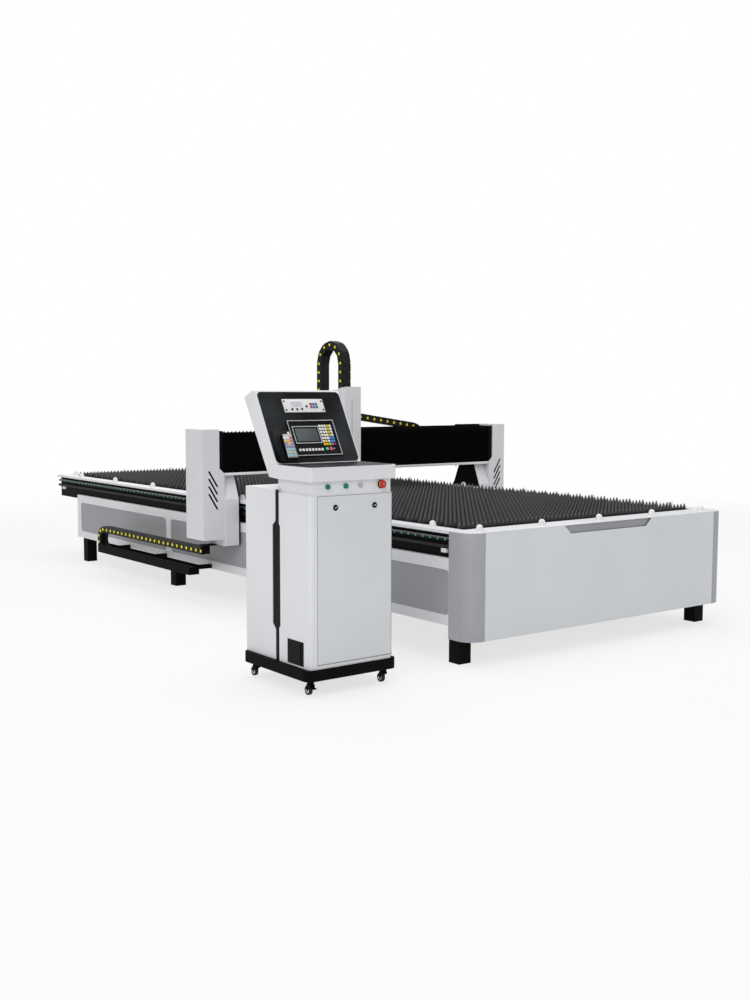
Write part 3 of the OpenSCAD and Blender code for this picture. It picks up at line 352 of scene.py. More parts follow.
recipes = {
    powderCoat: {
        "white": ("white", "#e3e4e7", "#dcdde0", 0.42),
        "panelWhite": ("pale panel", "#d9dcdf", "#d3d6da", 0.45),
        "leg": ("light grey", "#dadadf", "#d3d3d8", 0.45), "grey": ("mid grey", "#a6a7ad", "#9d9ea4", 0.42),
        "field": ("panel grey", "#9c9da1", "#95969a", 0.5),
        "black": ("black", "#0b0908", "#070606", 0.6, 0.06),
        "recess": ("matt black", "#060606", "#040404", 0.65, 0.1),
        "plate": ("light instrument", "#dedfdf", "#d8d9d9", 0.35),
    },
    groundSteel: {
        "steelX": ("ground steel across", "#b9babd", 0.32, "X"),
        "steelY": ("ground steel lengthways", "#b4b5b8", 0.32, "Y"),
        "steelZ": ("ground steel upright", "#a9aaad", 0.34, "Z"),
        "nickel": ("nickel plate", "#d2d3d2", 0.2, "Y"), "copper": ("turned copper", "#b87354", 0.3, "Z"),
        "guide": ("oiled guide steel", "#1c1c1d", 0.5, "Y", 0.4),
        "rack": ("blackened rack steel", "#0e0e0f", 0.55, "Y", 0.3),
        # a paler steel for a strip on the rails' top edges: painted highlight
        "railHighlightSteel": ("painted rail edge highlight", "#7b7b7e", 0.5, "Y", 0.5),
        "tray": ("cold rolled sheet", "#6e6f70", 0.5, "Y"),
    },
    mouldedPlastic: {
        "green": ("green", "#03805f", 0.3, 0.3), "red": ("red", "#cf0a12", 0.28, 0.3),
        "yellow": ("yellow", "#efc81a", 0.4, 0.3), "signal": ("signal yellow", "#f6ea2e", 0.5, 0.2),
        "blue": ("blue", "#3f97e6", 0.35), "teal": ("teal", "#2fa182", 0.4), "pink": ("pink", "#e0566c", 0.4),
        "paleBlue": ("pale blue", "#93cbe0", 0.4), "violet": ("violet", "#8e86c9", 0.4),
        "key": ("white key", "#efefed", 0.4), "ivory": ("ivory", "#f0efec", 0.35),
        "cap": ("grey cap", "#b9babd", 0.4),
        "case": ("grey handset", "#b7b9be", 0.42), "ink": ("black", "#08080a", 0.5, 0.12),
        "deepBlue": ("deep blue", "#3a5cc4", 0.35), "mint": ("mint green", "#5fc7a2", 0.4),
        "maroon": ("dark red", "#7c1f43", 0.4), "lilac": ("pale lilac", "#c4c3cf", 0.4),
        "display": ("pale display", "#d2d2dc", 0.15), "silver": ("silver line", "#c3c6ca", 0.35),
        # the grey of the lines round the console door: painted shade of the door gap
        "seal": ("grey painted door gap shade", "#96979a", 0.6, 0.2),
    },
}
for recipe, rows in recipes.items():
    for key, values in rows.items():
        recipe(key, *values)

# hot rolled plate for the slats: dark blue-grey mill scale, paler towards the tips as a painted highlight on
# the teeth
skin = newFinish("slat", "hot rolled slat plate", 0.55, 0.25)
noise, scale = mottle(skin, ("#1d1e21", "#29292c"), 9, detail=6)
height = addNode(skin, "SeparateXYZ", {"Vector": skin.at}).outputs["Z"]
# the tips' paler colour, from 768 to 806 mm up, is a painted highlight
tipHighlight = addNode(skin, "MapRange", {"Value": height, "From Min": 0.768, "From Max": 0.806}).outputs["Result"]
tint = addNode(skin, "Mix", {0: tipHighlight, 6: scale, 7: shade("#767375")}, data_type="RGBA")
feed(skin, tint.outputs[2], "Base Color")
grain(skin, 120, 0.3, 0.0008)
vary(skin, noise, 0.45, 0.7)

# bellows: polyurethane coated polyester, dead matt, with a plain weave drawn 4 mm coarse
skin = newFinish("bellows", "coated bellows cloth", 0.8, Specular_IOR_Level=0.05)
mottle(skin, ("#030303", "#060606"), 14)
threads = [addNode(skin, "TexWave", {"Vector": skin.at, "Scale": 80.0}, bands_direction=axis).outputs["Fac"]
           for axis in "XZ"]
weave = addNode(skin, "Math", dict(enumerate(threads)), operation="ADD").outputs[0]
bump = addNode(skin, "Bump", {"Height": weave, "Strength": 0.15, "Distance": 0.0006})
feed(skin, bump.outputs["Normal"], "Normal")

# chain links: glass filled polyamide, moulded, dull black with paler scuffs on the flats
skin = newFinish("chain", "moulded polyamide", 0.5, IOR=1.53, Specular_IOR_Level=0.2)
noise, _ = mottle(skin, ("#040404", "#0d0d0e"), 30, spread=(0.45, 0.75))
grain(skin, 700, 0.12, 0.0003)
vary(skin, noise, 0.35, 0.55)

# fascia sheet: charcoal textured film, grain about 3 mm; the wide light and dark clouds in its base colour
# are painted reflections
skin = newFinish("film", "charcoal textured film", 0.4, IOR=1.5, Specular_IOR_Level=0.15)
noise, _ = mottle(skin, ("#07080a", "#34383b"), 2.2, detail=6, spread=(0.4, 0.68))
grain(skin, 300, 0.25, 0.0004)
vary(skin, noise, 0.3, 0.46)

# liquid crystal screen, switched off: grey-green behind clear glass
skin = newFinish("screen", "screen glass", 0.12, IOR=1.5, Coat_Weight=0.6, Coat_Roughness=0.05)
mottle(skin, ("#3c4445", "#596263"), 4, detail=1)

# caster tread: black rubber, dull and dusty
skin = newFinish("rubber", "caster rubber", 0.8)
mottle(skin, ("#141414", "#2a2827"), 45)
grain(skin, 500, 0.3, 0.0003)

# torch body: turned brass, with tool marks about 7 mm apart
skin = newFinish("brass", "turned brass", 0.28, 1.0)
height = addNode(skin, "SeparateXYZ", {"Vector": skin.at}).outputs["Z"]
rings = addNode(skin, "Math", {0: height, 1: 900.0}, operation="MULTIPLY").outputs[0]
marks = addNode(skin, "Math", {0: rings}, operation="SINE").outputs[0]
bump = addNode(skin, "Bump", {"Height": marks, "Strength": 0.1, "Distance": 0.0002})
feed(skin, bump.outputs["Normal"], "Normal")
mottle(skin, ("#b8893f", "#d0a557"), 30)
print("finishes mixed:", len(finishes))


lamps = {
    "key": {"at": (-9.5, -7.5, 8.5), "aim": (0, 0, 0.7), "size": 7.0, "watts": 560},
    "fill": {"at": (7.0, -8.0, 5.0), "aim": (0.5, 0, 0.7), "size": 6.0, "watts": 110},
    "top": {"at": (0, 0, 9.0), "aim": (0, 0, 0), "size": 9.0, "watts": 480},
    "back": {"at": (3.0, 10.0, 6.0), "aim": (0, 0, 0.7), "size": 7.0, "watts": 170},
}


def buildStage():
    clearSelection()
    bpy.ops.mesh.primitive_circle_add(vertices=96, radius=70, fill_type="NGON", location=(0, 0, -0.0005))
    floor = fresh("studioFloor")
    skin = newFinish("floor", "pale studio floor", 0.9, Base_Color=shade("#e9e9e9"), Specular_IOR_Level=0.1)
    ray = addNode(skin, "LightPath").outputs
    distance = addNode(skin, "VectorMath", {0: skin.at}, operation="LENGTH").outputs["Value"]
    reach = {"Value": distance, "From Min": 4.5, "From Max": 11.0, "To Min": 0.72, "To Max": 1.0}
    share = addNode(skin, "MapRange", reach, interpolation_type="SMOOTHSTEP").outputs["Result"]
    seen = ray["Is Camera Ray"]
    for other in (ray["Is Glossy Ray"], ray["Is Transmission Ray"]):
        seen = addNode(skin, "Math", {0: seen, 1: other}, operation="MAXIMUM").outputs[0]
    share = addNode(skin, "Math", {0: seen, 1: share}, operation="MULTIPLY").outputs[0]
    white = addNode(skin, "Emission", {"Color": (1, 1, 1, 1), "Strength": 1.0}).outputs[0]
    mixed = addNode(skin, "MixShader", {0: share, 1: skin.shader.outputs[0], 2: white})
    skin.node_tree.links.new(mixed.outputs[0], skin.node_tree.nodes["Material Output"].inputs["Surface"])
    paint(floor, "floor")

    scene.world = world = bpy.data.worlds.new("studio air")
    world.use_nodes = True
    ray = addNode(world, "LightPath").outputs
    rays = {0: ray["Is Camera Ray"], 1: ray["Is Transmission Ray"]}
    seen = addNode(world, "Math", rays, operation="MAXIMUM").outputs[0]
    strength = addNode(world, "MapRange", {"Value": seen, "To Min": 0.46, "To Max": 1.0})
    air = world.node_tree.nodes["Background"].inputs
    air["Color"].default_value = (1, 1, 1, 1)
    world.node_tree.links.new(strength.outputs["Result"], air["Strength"])

    for name, lamp in lamps.items():
        bpy.ops.object.light_add(type="AREA", location=lamp["at"])
        light = bpy.context.object
        light.name = name + "Lamp"
        light.data.size = lamp["size"]
        light.data.energy = lamp["watts"]
        aim = Vector(lamp["aim"]) - Vector(lamp["at"])
        light.rotation_euler = aim.to_track_quat("-Z", "Y").to_euler()
    scene.view_settings.view_transform = "Standard"


buildStage()
print("stage lit")


# Solids that keep their own shape: finish and softened edges

casterNumbers = range(1, 5)
dressed = {
    "black": "feet y_chain_tray console_plinth leg_plates brake_lever",
    "white": "table_frame top_covers gantry_beam z_cover console_cabinet console_rear_box "
             "console_neck console_head",
    "recess": "rail_beams slat_racks chain_tray", "ink": "console_trims y_drives axis_motors controller",
    "field": "grey_panels", "grey": "corner_posts", "panelWhite": "front_panel console_door",
    "film": "fascia", "leg": "gantry_legs upright_covers", "tray": "slag_trays electrics",
    "slat": "slats", "ivory": "ball_units",
    "steelX": "x_guides pinion_left pinion_right", "steelY": "y_guides x_pinion", "bellows": "bellows",
    "steelZ": "z_screw torch_slide carriage_plate", "chain": "y_chain x_chain z_chain", "brass": "torch",
    "nickel": "panel_fittings lock_left lock_right", "case": "handset", "plate": "height_control",
    "green": "button_start button_stop", "red": "estop_button",
}
edges = {1: "fascia chain_tray y_chain_tray torch_slide", 1.2: "top_covers leg_plates",
         1.5: "front_panel corner_posts console_door",
         2: "console_neck console_plinth gantry_legs z_cover feet",
         2.5: "console_cabinet console_head console_rear_box upright_covers"}

for finish, nodes in dressed.items():
    for node in nodes.split():
        paint(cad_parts[node], finish)
for k in casterNumbers:
    paint(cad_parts[f"caster_fork_{k}"], "black")
    paint(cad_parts[f"caster_wheel_{k}"], "rubber")
for width, nodes in edges.items():  # live modifiers over the solid's own faces
    for node in nodes.split():
        for name, kind, settings in (
                ("Weld", "WELD", {"merge_threshold": 0.00001}),
                ("Flat", "DECIMATE", {"decimate_type": "DISSOLVE", "angle_limit": math.radians(0.5)}),
                ("Edges", "BEVEL", {"width": width * unit, "segments": 2, "limit_method": "ANGLE",
                                    "angle_limit": math.radians(40)})):
            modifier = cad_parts[node].modifiers.new(name, kind)
            for key, value in settings.items():
                setattr(modifier, key, value)
print("solids dressed:", sum(len(nodes.split()) for nodes in dressed.values()) + 2 * len(casterNumbers))


# Toothed slats, standing in the notches of their combs

slat = {"half": 1058, "toothHalf": 1036, "thick": 5, "tab": 738, "root": 770, "tip": 805, "teeth": 60,
        "count": 46, "pitch": 119.783, "tipShare": 0.12}


def row(piece, count, step, **settings):
    return modify(piece, "ARRAY", count=count, use_relative_offset=False, use_constant_offset=True,
                  constant_offset_displace=Vector(step) * unit, **settings)


def makeSlats():
    (_, front, foot), _ = boxOf("slats")
    left, rise, back = -slat["toothHalf"], slat["tip"] - slat["root"], front + slat["thick"]
    pitch = -2 * left / slat["teeth"]
    tooth = block("tooth", (left, front, foot), (left + pitch, back, slat["root"]))
    carve(tooth, "+z", push(z=rise * 0.55), narrow(x=0.5), push(z=rise * 0.45),
          narrow(x=slat["tipShare"] * 2, y=0.5))
    carve(tooth, lambda centre, normal: abs(normal.x) > 0.99 and centre.z < slat["root"], cut)
    row(tooth, slat["teeth"], (pitch, 0, 0), use_merge_vertices=True, merge_threshold=0.00001)
    carve(tooth, "", partial(bpy.ops.mesh.fill_holes, sides=4))
    tabs = [block("tab", (way * slat["toothHalf"], front, foot), (way * slat["half"], back, slat["tab"]))
            for way in (-1, 1)]
    single = joined("slat", [tooth, *tabs])
    rows = [copyOf(single, shift(y=slat["pitch"] * k)) for k in range(1, slat["count"])]
    hand(joined("toothedSlats", [single, *rows]), "slat", replaces="slats")


# Ball transfer units: flange, cup and polished ball

ballUnit = {"flange": 29, "flangeHigh": 3, "cup": (24, 20.5), "cupHigh": 13, "ball": 19.5, "rise": 17,
            "boltRing": 27.5, "boltTurns": (0.8, 2.9, 5.0), "frontY": -2665, "rearY": 3028, "rowX": 500,
            "sideX": 1080, "sideRows": 8, "sideEnd": 320}


def makeBallUnits():
    b, top = ballUnit, boxOf("ball_units")[0][2]
    flange = rod("flange", (0, 0, top), b["flange"], b["flangeHigh"], sides=20)
    cup = cone("cup", (0, 0, top + b["flangeHigh"]), b["cup"], b["cupHigh"], sides=20)
    carve(cup, "+z", rim(3), push(z=-2))
    clearSelection()
    middle = top + b["rise"]
    bpy.ops.mesh.primitive_uv_sphere_add(
        segments=20, ring_count=14, radius=b["ball"] * unit, location=(0, 0, middle * unit))
    ball = carve(fresh("ball"), lambda centre, normal: centre.z < middle - 6, cut)
    ring = b["boltRing"]
    bolts = [rod("bolt", (ring * math.cos(a), ring * math.sin(a), top + 2.5), 2.2, 1.6, sides=6)
             for a in b["boltTurns"]]
    single = joined("ballUnit", [soften(flange, 1, 1), soften(cup, 0.8, 1), smooth(ball, 80), *bolts])
    first = b["frontY"] + b["sideEnd"]
    step = (b["rearY"] - b["sideEnd"] - first) / (b["sideRows"] - 1)
    spots = [(x * b["rowX"], y) for x in range(-2, 3) for y in (b["frontY"], b["rearY"])]
    spots += [(side * b["sideX"], first + k * step) for side in (-1, 1) for k in range(b["sideRows"])]
    units = repeated(single, [shift(*spot) for spot in spots])
    hand(joined("ballUnits", units), "ivory", replaces="ball_units")


# Guides on both sides: profiled rail with its bolt caps, rack with teeth below, limit switches

sideGuide = {"rail": ((1120, 1134), (711, 729)), "rack": ((1120, 1140), (666, 686)),
             "capPitch": 67, "capRadius": 7.6, "capZ": 717, "capStart": 51, "capRoom": 40,
             "toothPitch": 5.0265, "toothHigh": 2.6, "screwPitch": 180, "screwRoom": 80,
             "switchEnds": (34, -120)}


def inLine(piece, room, pitch):  # copies along y, as many as the room takes
    return repeated(piece, [shift(y=pitch * k) for k in range(int(room / pitch))])


def makeGuides():
    g = sideGuide
    (_, y0, _), (_, y1, _) = boxOf("y_guides")
    (x0, x1), (z0, z1) = g["rail"]
    rail = block("rail", (x0, y0, z0), (x1, y1, z1))
    carve(rail, "z", rim(4.5), narrow(z=0.78, center_override=(0, 0, (z0 + z1) / 2 * unit)))  # ball tracks
    # a pale strip along the rail's top edge: painted highlight
    edge = block("railEdgeHighlight", (x1 - 1.5, y0 + 1, z1 - 7), (x1 + 0.8, y1 - 1, z1 + 1))
    cap = soften(rod("cap", (x1 - 0.4, y0 + g["capStart"], g["capZ"]), g["capRadius"], 2, "X", 14), 0.5, 1)
    caps = inLine(cap, y1 - y0 - g["capRoom"], g["capPitch"])

    (x0, x1), (z0, z1) = g["rack"]
    root, pitch = z0 + g["toothHigh"], g["toothPitch"]
    bar = block("rackBar", (x0, y0, root), (x1, y1, z1))
    tooth = block("rackTooth", (x0 + 0.2, y0, root), (x1 - 0.2, y0 + pitch * 0.8, root + 0.4))
    carve(tooth, "-z", push(z=-g["toothHigh"]), narrow(y=0.35))
    carve(tooth, "+z", cut)
    row(tooth, int((y1 - y0 - 4) / pitch), (0, pitch, 0))
    screw = rod("rackScrew", (x1 - 0.3, y0 + 60, z0 + 12), 4.2, 0.7, "X", 10)
    screws = inLine(screw, y1 - y0 - g["screwRoom"], g["screwPitch"])
    for name, finish, slot, replaces, pieces in (
            ("guideRails", "guide", "guide_steel", "", [soften(rail, 0.8, 1)]),
            ("railEdgeHighlights", "railHighlightSteel", "guide_steel", "", [soften(edge, 0.6, 1)]),
            ("guideCaps", "teal", "green_plastic", "", caps),
            ("racks", "rack", "guide_steel", "y_guides", [soften(bar, 1, 1), tooth, *screws])):
        hand(bothSides(name, pieces), finish, replaces=replaces)

    cases, levers = [], []
    for y in (y0 + g["switchEnds"][0], boxOf("rail_beams")[1][1] + g["switchEnds"][1]):
        case = block("switchCase", (-1140, y, 640), (-1120, y + 46, 664))
        cases.append(soften(carve(case, "-x", rim(2.5), push(x=-1.2)), 1.2))
        levers += [soften(block("switchArm", (-1139, y + 14, 657), (-1136, y + 20, 661)), 0.5, 1),
                   soften(rod("switchRoller", (-1139, y + 17, 660.5), 3.6, 4, "X", 16), 0.5, 1)]
    hand(joined("limitSwitches", cases), "key", replaces="y_guides")
    hand(joined("limitLevers", levers), "steelY")


makeSlats()
makeBallUnits()
makeGuides()
print("table fitted out")


# Drag chains. A link is a pair of recessed side plates with crossbars between them and a snap cap at each
# joint. A chain is laid in short groups of links, with each group's two bodies and its share of the travel
# worked out.

chains = {
    "beam": {"node": "x_chain", "bodies": ("gantry", "carriage"), "along": "X", "at": -70.5,
             "wide": 50, "high": 55, "cap": 10.5},
    "side": {"node": "y_chain", "bodies": ("table", "gantry"), "along": "Y", "at": -1350,
             "wide": 72, "high": 50, "cap": 12},
    "lift": {"node": "z_chain", "bodies": ("carriage", "torch_lift"), "along": "Y", "at": -213.5,
             "wide": 77, "high": 60, "cap": 10.5},
}
chainPitch = 72


def turnAt(share):  # how far along a smooth turn a share of the travel lies
    return 0.5 - math.sin(math.asin(1 - 2 * share) / 3)


def steepest(t0, t1):
    return 1.5 if t0 < 0.5 < t1 else max(6 * t * (1 - t) for t in (t0, t1))


def halved(low, high, times, tooFar):  # the last value before a test first says too far
    for _ in range(times):
        middle = (low + high) / 2
        low, high = (low, middle) if tooFar(middle) else (middle, high)
    return low, high


def turnsAlong(places, first, last):  # turns at the ends of the groups, equally steep in all of them
    if first > last:  # either end may follow either body
        return turnsAlong(places[::-1], last, first)[::-1]

    def turnsAt(pace):
        turns = [turnAt(first)]
        for a, b in zip(places, places[1:]):
            t0 = turns[-1]
            turns.append(halved(t0, 1.0, 40, lambda t: steepest(t0, t) * (t - t0) / abs(b - a) > pace)[0])
        return turns

    end = turnAt(last)
    fast = halved(0.0, 0.1, 50, lambda pace: turnsAt(pace)[-1] >= end - 1e-6)[1]
    return turnsAt(fast)[:-1] + [end]


def between(bodies, spots, turns=(0, 1)):
    # the spots are the ends of a piece's own stretch, and the turns what it has reached there
    p, q = (Vector(spot) * unit for spot in spots)
    whole = (q - p) / (turns[1] - turns[0])
    start = p - whole * turns[0]
    return bodies, start, start + whole


def makeLink(wide, high):  # along x, crosswise on y, outer side up
    plate, corner, gap, long, half = 8, 7, 0.3, chainPitch, high / 2
    side = block("linkPlate", (gap, wide / 2 - plate, -half), (long - gap, wide / 2, half - corner))
    carve(side, "+z", push(z=corner), narrow(x=1 - 2 * corner / (long - 2 * gap)))
    carve(side, lambda centre, normal: normal.y > 0.9 and centre.z < half - corner, rim(7), push(y=-2))
    soften(side, 0.8, 1)
    bars = [block("linkBar", (long * a, plate - wide / 2, z0), (long * b, wide / 2 - plate, z1))
            for a, b, z0, z1 in ((0, 0.6, half - 6, half - 0.8), (0.62, 1, half - 6, half - 1.6),
                                 (0, 1, 0.8 - half, 6 - half))]
    web = block("linkWeb", (long * 0.34, -2, 5 - half), (long * 0.4, 2, half - 5))
    return joined("link", [side, mirror(side, (0, 1, 0)), *bars, soften(web, 0.6, 1)])


def makeCaps(wide, radius):  # both snap caps of a joint
    cap = rod("jointCap", (0, wide / 2 - 0.6, 0), radius, 2.1, "Y", 16)
    soften(carve(cap, "+y", rim(3), push(y=-0.6)), 0.5, 1)
    return joined("jointCaps", [cap, mirror(cap, (0, 1, 0))])


def straightRun(a, b):
    count = max(1, round(math.dist(a, b) / chainPitch))
    run, rise = b[0] - a[0], b[1] - a[1]
    heading = math.atan2(rise, run)
    return [(a[0] + run * k / count, a[1] + rise * k / count, heading) for k in range(count + 1)]


def turnRun(centre, radius, first, last, count):
    stations = []
    for k in range(count + 1):
        heading = math.radians(first + (last - first) * k / count)
        side = heading - math.copysign(math.pi / 2, last - first)
        stations.append((centre[0] + radius * math.cos(side), centre[1] + radius * math.sin(side), heading))
    return stations


def linkPlace(chain, start, end):  # the place of a link, with its length and its mitres
    heading = math.atan2(end[1] - start[1], end[0] - start[0])

    def upright(along, up, aside=0):
        return Vector((along, aside, up) if chain["along"] == "X" else (aside, along, up))

    ex = upright(math.cos(heading), math.sin(heading))
    ez = upright(-math.sin(heading), math.cos(heading))
    matrix = Matrix((ex, ez.cross(ex), ez)).transposed().to_4x4()
    matrix.translation = upright(*start[:2], chain["at"]) * unit
    return matrix, math.dist(start[:2], end[:2]), start[2] - heading, end[2] - heading


def handLinks(key, stations, tag, spots, reach=(0, 1)):  # links and caps between the stations
    chain = chains[key]
    if "link" not in chain:
        chain["link"] = makeLink(chain["wide"], chain["high"])
        chain["caps"] = makeCaps(chain["wide"], chain["cap"])
    links, caps = [], []
    for start, end in zip(stations, stations[1:]):
        matrix, long, first, last = linkPlace(chain, start, end)
        piece = copyOf(chain["link"], Matrix.Scale(long / chainPitch, 4, (1, 0, 0)))
        for vertex in piece.data.vertices:  # the ends of the link turn half way towards its neighbours
            share = min(max(vertex.co.x / (long * unit), 0), 1)
            vertex.co.x -= vertex.co.z * (math.tan(first) * (1 - share) + math.tan(last) * share)
        links.append(placed(piece, matrix))
        caps.append(copyOf(chain["caps"], matrix))
    body = between(chain["bodies"], spots, reach)
    hand(joined("links", links), "chain", body, chain["node"], tag)
    hand(joined("caps", caps), "signal", body, name=tag + "Caps")


def groupEnds(links, size=4):  # where groups of links end, as even as they come
    count = math.ceil(links / size)
    return [0, *accumulate(links // count + (k < links % count) for k in range(count))]


def layChain(key, part, stations, first, last, size=4):
    # a run whose share of the travel goes from first to last
    ends = groupEnds(len(stations) - 1, size)
    places = [stations[k][0] for k in ends]
    turns = turnsAlong(places, first, last) if first != last else None
    for n, (k0, k1) in enumerate(zip(ends, ends[1:])):
        spots, reach = (places[n:n + 2], turns[n:n + 2]) if turns else (
            (-1e6, 1e6), (turnAt(first) - 0.001, turnAt(first) + 0.001))  # the same share all over
        spots = [(spot, 0, 0) if chains[key]["along"] == "X" else (0, spot, 0) for spot in spots]
        handLinks(key, stations[k0:k1 + 1], f"{key}Chain{part}{n + 1}", spots, reach)


def layLoop(key, upper, end, high, radius, foot):  # the upper run, round its loop and straight back
    low = high - 2 * radius
    layChain(key, "Upper", upper, 1, 0.5)
    layChain(key, "Loop", turnRun((end, high - radius), radius, 0, -180, 5), 0.5, 0.5, 5)
    layChain(key, "Lower", straightRun((end, low), (foot, low)), 0.5, 0)


chainRuns = {"beamStart": (-133.5, 1362), "beamKnee": (61.5, 1362), "beamTurn": (597, 1283.8), "beamLoop": 79,
             "sideStart": -100.5, "sideFoot": 100, "sideHigh": 405, "sideLoop": 85,
             "liftFront": (-255, 1440), "liftRear": (32, 1308), "liftTop": 1776.5, "liftLoop": 143.5}


def makeChains():
    r = chainRuns
    knee, end = r["beamKnee"], r["beamTurn"]
    level, slope = straightRun(r["beamStart"], knee), straightRun(knee, end)
    upper = level[:-1] + [(*knee, slope[0][2] / 2)] + slope[1:-1] + [(*end, 0)]
    layLoop("beam", upper, *end, r["beamLoop"], 0)

    high, radius = r["sideHigh"], r["sideLoop"]
    end = boxOf("y_chain")[1][1] - radius - chains["side"]["high"] / 2
    layLoop("side", straightRun((r["sideStart"], high), (end, high)), end, high, radius, r["sideFoot"])

    (front, start), (rear, foot), top = r["liftFront"], r["liftRear"], r["liftTop"]
    up, down = straightRun((front, start), (front, top)), straightRun((rear, top), (rear, foot))
    stations = up[:-1] + turnRun(((front + rear) / 2, top), r["liftLoop"], 90, -90, 6)[:-1] + down
    handLinks("lift", stations, "liftChain", [(0, rear - 30, 0), (0, front + 30, 0)])
    for chain in chains.values():
        drop(chain["link"], chain["caps"])


# Pleated bellows over the front and the top of the beam, in groups of folds

pleats = {"frontY": -262.5, "backY": -106.5, "low": 977, "high": 1276.2, "deep": 17, "pitch": 31.5,
          "skin": 1.6, "corner": 9, "crest": 33, "ridge": 3, "hem": 14}


def makePleats(x0, x1, folds):  # one stretch of cloth, a sheet of grid lines set on ridges and valleys
    clearSelection()
    bpy.ops.mesh.primitive_grid_add(x_subdivisions=2 * folds, y_subdivisions=6, size=1)
    cloth = fresh("cloth")
    p = pleats
    for vertex in cloth.data.vertices:
        column = round((vertex.co.x + 0.5) * 2 * folds)
        inward, ridge = (0, p["ridge"]) if column % 2 else (p["deep"], 0)
        front, top, corner = p["frontY"] + inward + 0.8, p["high"] - inward, p["corner"]
        flat = p["high"] - p["deep"] + ridge
        profile = ((front, p["low"]), (front, top - corner), (front + corner * 0.3, top - corner * 0.3),
                   (front + corner, top), (p["frontY"] + p["crest"], flat), (p["backY"], flat),
                   (p["backY"], flat - p["hem"]))
        y, z = profile[round((vertex.co.y + 0.5) * 6)]
        vertex.co = Vector((x0 + (x1 - x0) * column / (2 * folds), y, z)) * unit
    cloth.data.update()
    modify(cloth, "SOLIDIFY", thickness=p["skin"] * unit, offset=-1)
    bevel(cloth, 0.7, 1, 50)
    return smooth(carve(cloth, "", partial(bpy.ops.mesh.normals_make_consistent, inside=False)), 25)


def makeBellows():
    low, high = boxOf("bellows")
    plate = boxOf("carriage_plate")
    for side, x0, x1, first, last in (("Left", low[0], plate[0][0] - 0.3, 0, 1),
                                      ("Right", plate[1][0] + 0.3, high[0], 1, 0)):
        folds = round((x1 - x0) / pleats["pitch"])
        ends = groupEnds(folds)
        places = [x0 + (x1 - x0) * k / folds for k in ends]
        turns = turnsAlong(places, first, last)
        for n, (k0, k1) in enumerate(zip(ends, ends[1:])):
            spots = [(place, 0, 0) for place in places[n:n + 2]]
            body = between(("gantry", "carriage"), spots, turns[n:n + 2])
            hand(makePleats(*places[n:n + 2], k1 - k0), "bellows", body, "bellows",
                 f"bellows{side}{n + 1}")


makeChains()
print("chains laid")
makeBellows()
print("bellows folded")


# Gantry: white lip under a black beam with its end plates, bolts on the legs, toothed pinions

beam = {"reach": 1285, "lipReach": 1281, "lipLow": 958, "low": 977, "high": 1245, "y": (-215.5, -115.5),
        "plateX": (1285, 1321), "plateY": (-262.5, -105.5), "plateHigh": 1277, "cutHigh": 35}


def hexBolt(foot, radius, axis="X", way=1):  # hexagon head on its washer
    washer = rod("washer", foot, radius * 1.35, way * 0.8, axis, 16)
    foot = [value + 0.8 * way * (letter == axis) for value, letter in zip(foot, "XYZ")]
    head = cone("boltHead", foot, (radius, radius * 0.94), way * radius * 0.65, axis, 6)
    return joined("hexBolt", [washer, soften(head, 0.4, 1)])


def makeBeam():
    b = beam
    (y0, y1), (x0, x1), (front, back) = b["plateY"], b["plateX"], b["y"]
    lip = block("beamLip", (-b["lipReach"], y0, b["lipLow"]), (b["lipReach"], y1, b["low"] - 0.2))
    carve(lip, "-z", rim(6), push(z=4))
    hand(soften(lip, 1.5), "white", "gantry", "gantry_beam")
    tube = block("beamTube", (-b["reach"], front, b["low"]), (b["reach"], back, b["high"]))
    soften(carve(tube, "x", rim(6), narrow(x=0.985, center_override=(0, 0, 0))), 5, 3)
    end = block("beamEnd", (x0 + 0.3, y0, b["low"] + 1), (x1, y1, b["plateHigh"]))
    for vertex in end.data.vertices:  # the lower outer edge is cut off at a slant
        if vertex.co.x > (x1 - 1) * unit and vertex.co.z < 1:
            vertex.co.z = (b["low"] + b["cutHigh"]) * unit
    bolts = [hexBolt((x0 - 0.2, y, z), 7, "X", -1) for y in (y0 + 20, y1 - 14) for z in (1040, 1130, 1220)]
    side = joined("beamEnd", [soften(end, 2), *bolts])
    hand(joined("beamTube", [tube, side, mirror(side)]), "black", "gantry", "gantry_beam")


def gear(foot, radius, teeth, width, axis, bore):
    wheel = rod("pinion", foot, radius - 2.2, width, axis, teeth * 2)
    along = "XYZ".index(axis)
    middle = Vector(foot)
    middle[along] += width / 2
    p, q = [k for k in range(3) if k != along]

    def bearing(centre):  # counted in tooth sides
        return math.atan2(centre[q] - middle[q], centre[p] - middle[p]) / (math.pi / teeth)

    first = next(bearing(face.center / unit) for face in wheel.data.polygons if abs(face.normal[along]) < 0.1)

    def onTooth(centre, normal):
        return abs(normal[along]) < 0.1 and round(bearing(centre) - first) % 2 == 0

    def onEnd(centre, normal):
        return abs(normal[along]) > 0.9 and (centre - middle).length < width / 2 + 1

    grow = {"value": 2.2 * unit}
    carve(wheel, onTooth, partial(bpy.ops.mesh.extrude_region_shrink_fatten, TRANSFORM_OT_shrink_fatten=grow))
    return smooth(carve(wheel, onEnd, rim((radius - bore) * 0.35), rim(1.2, -1.5)), 20)


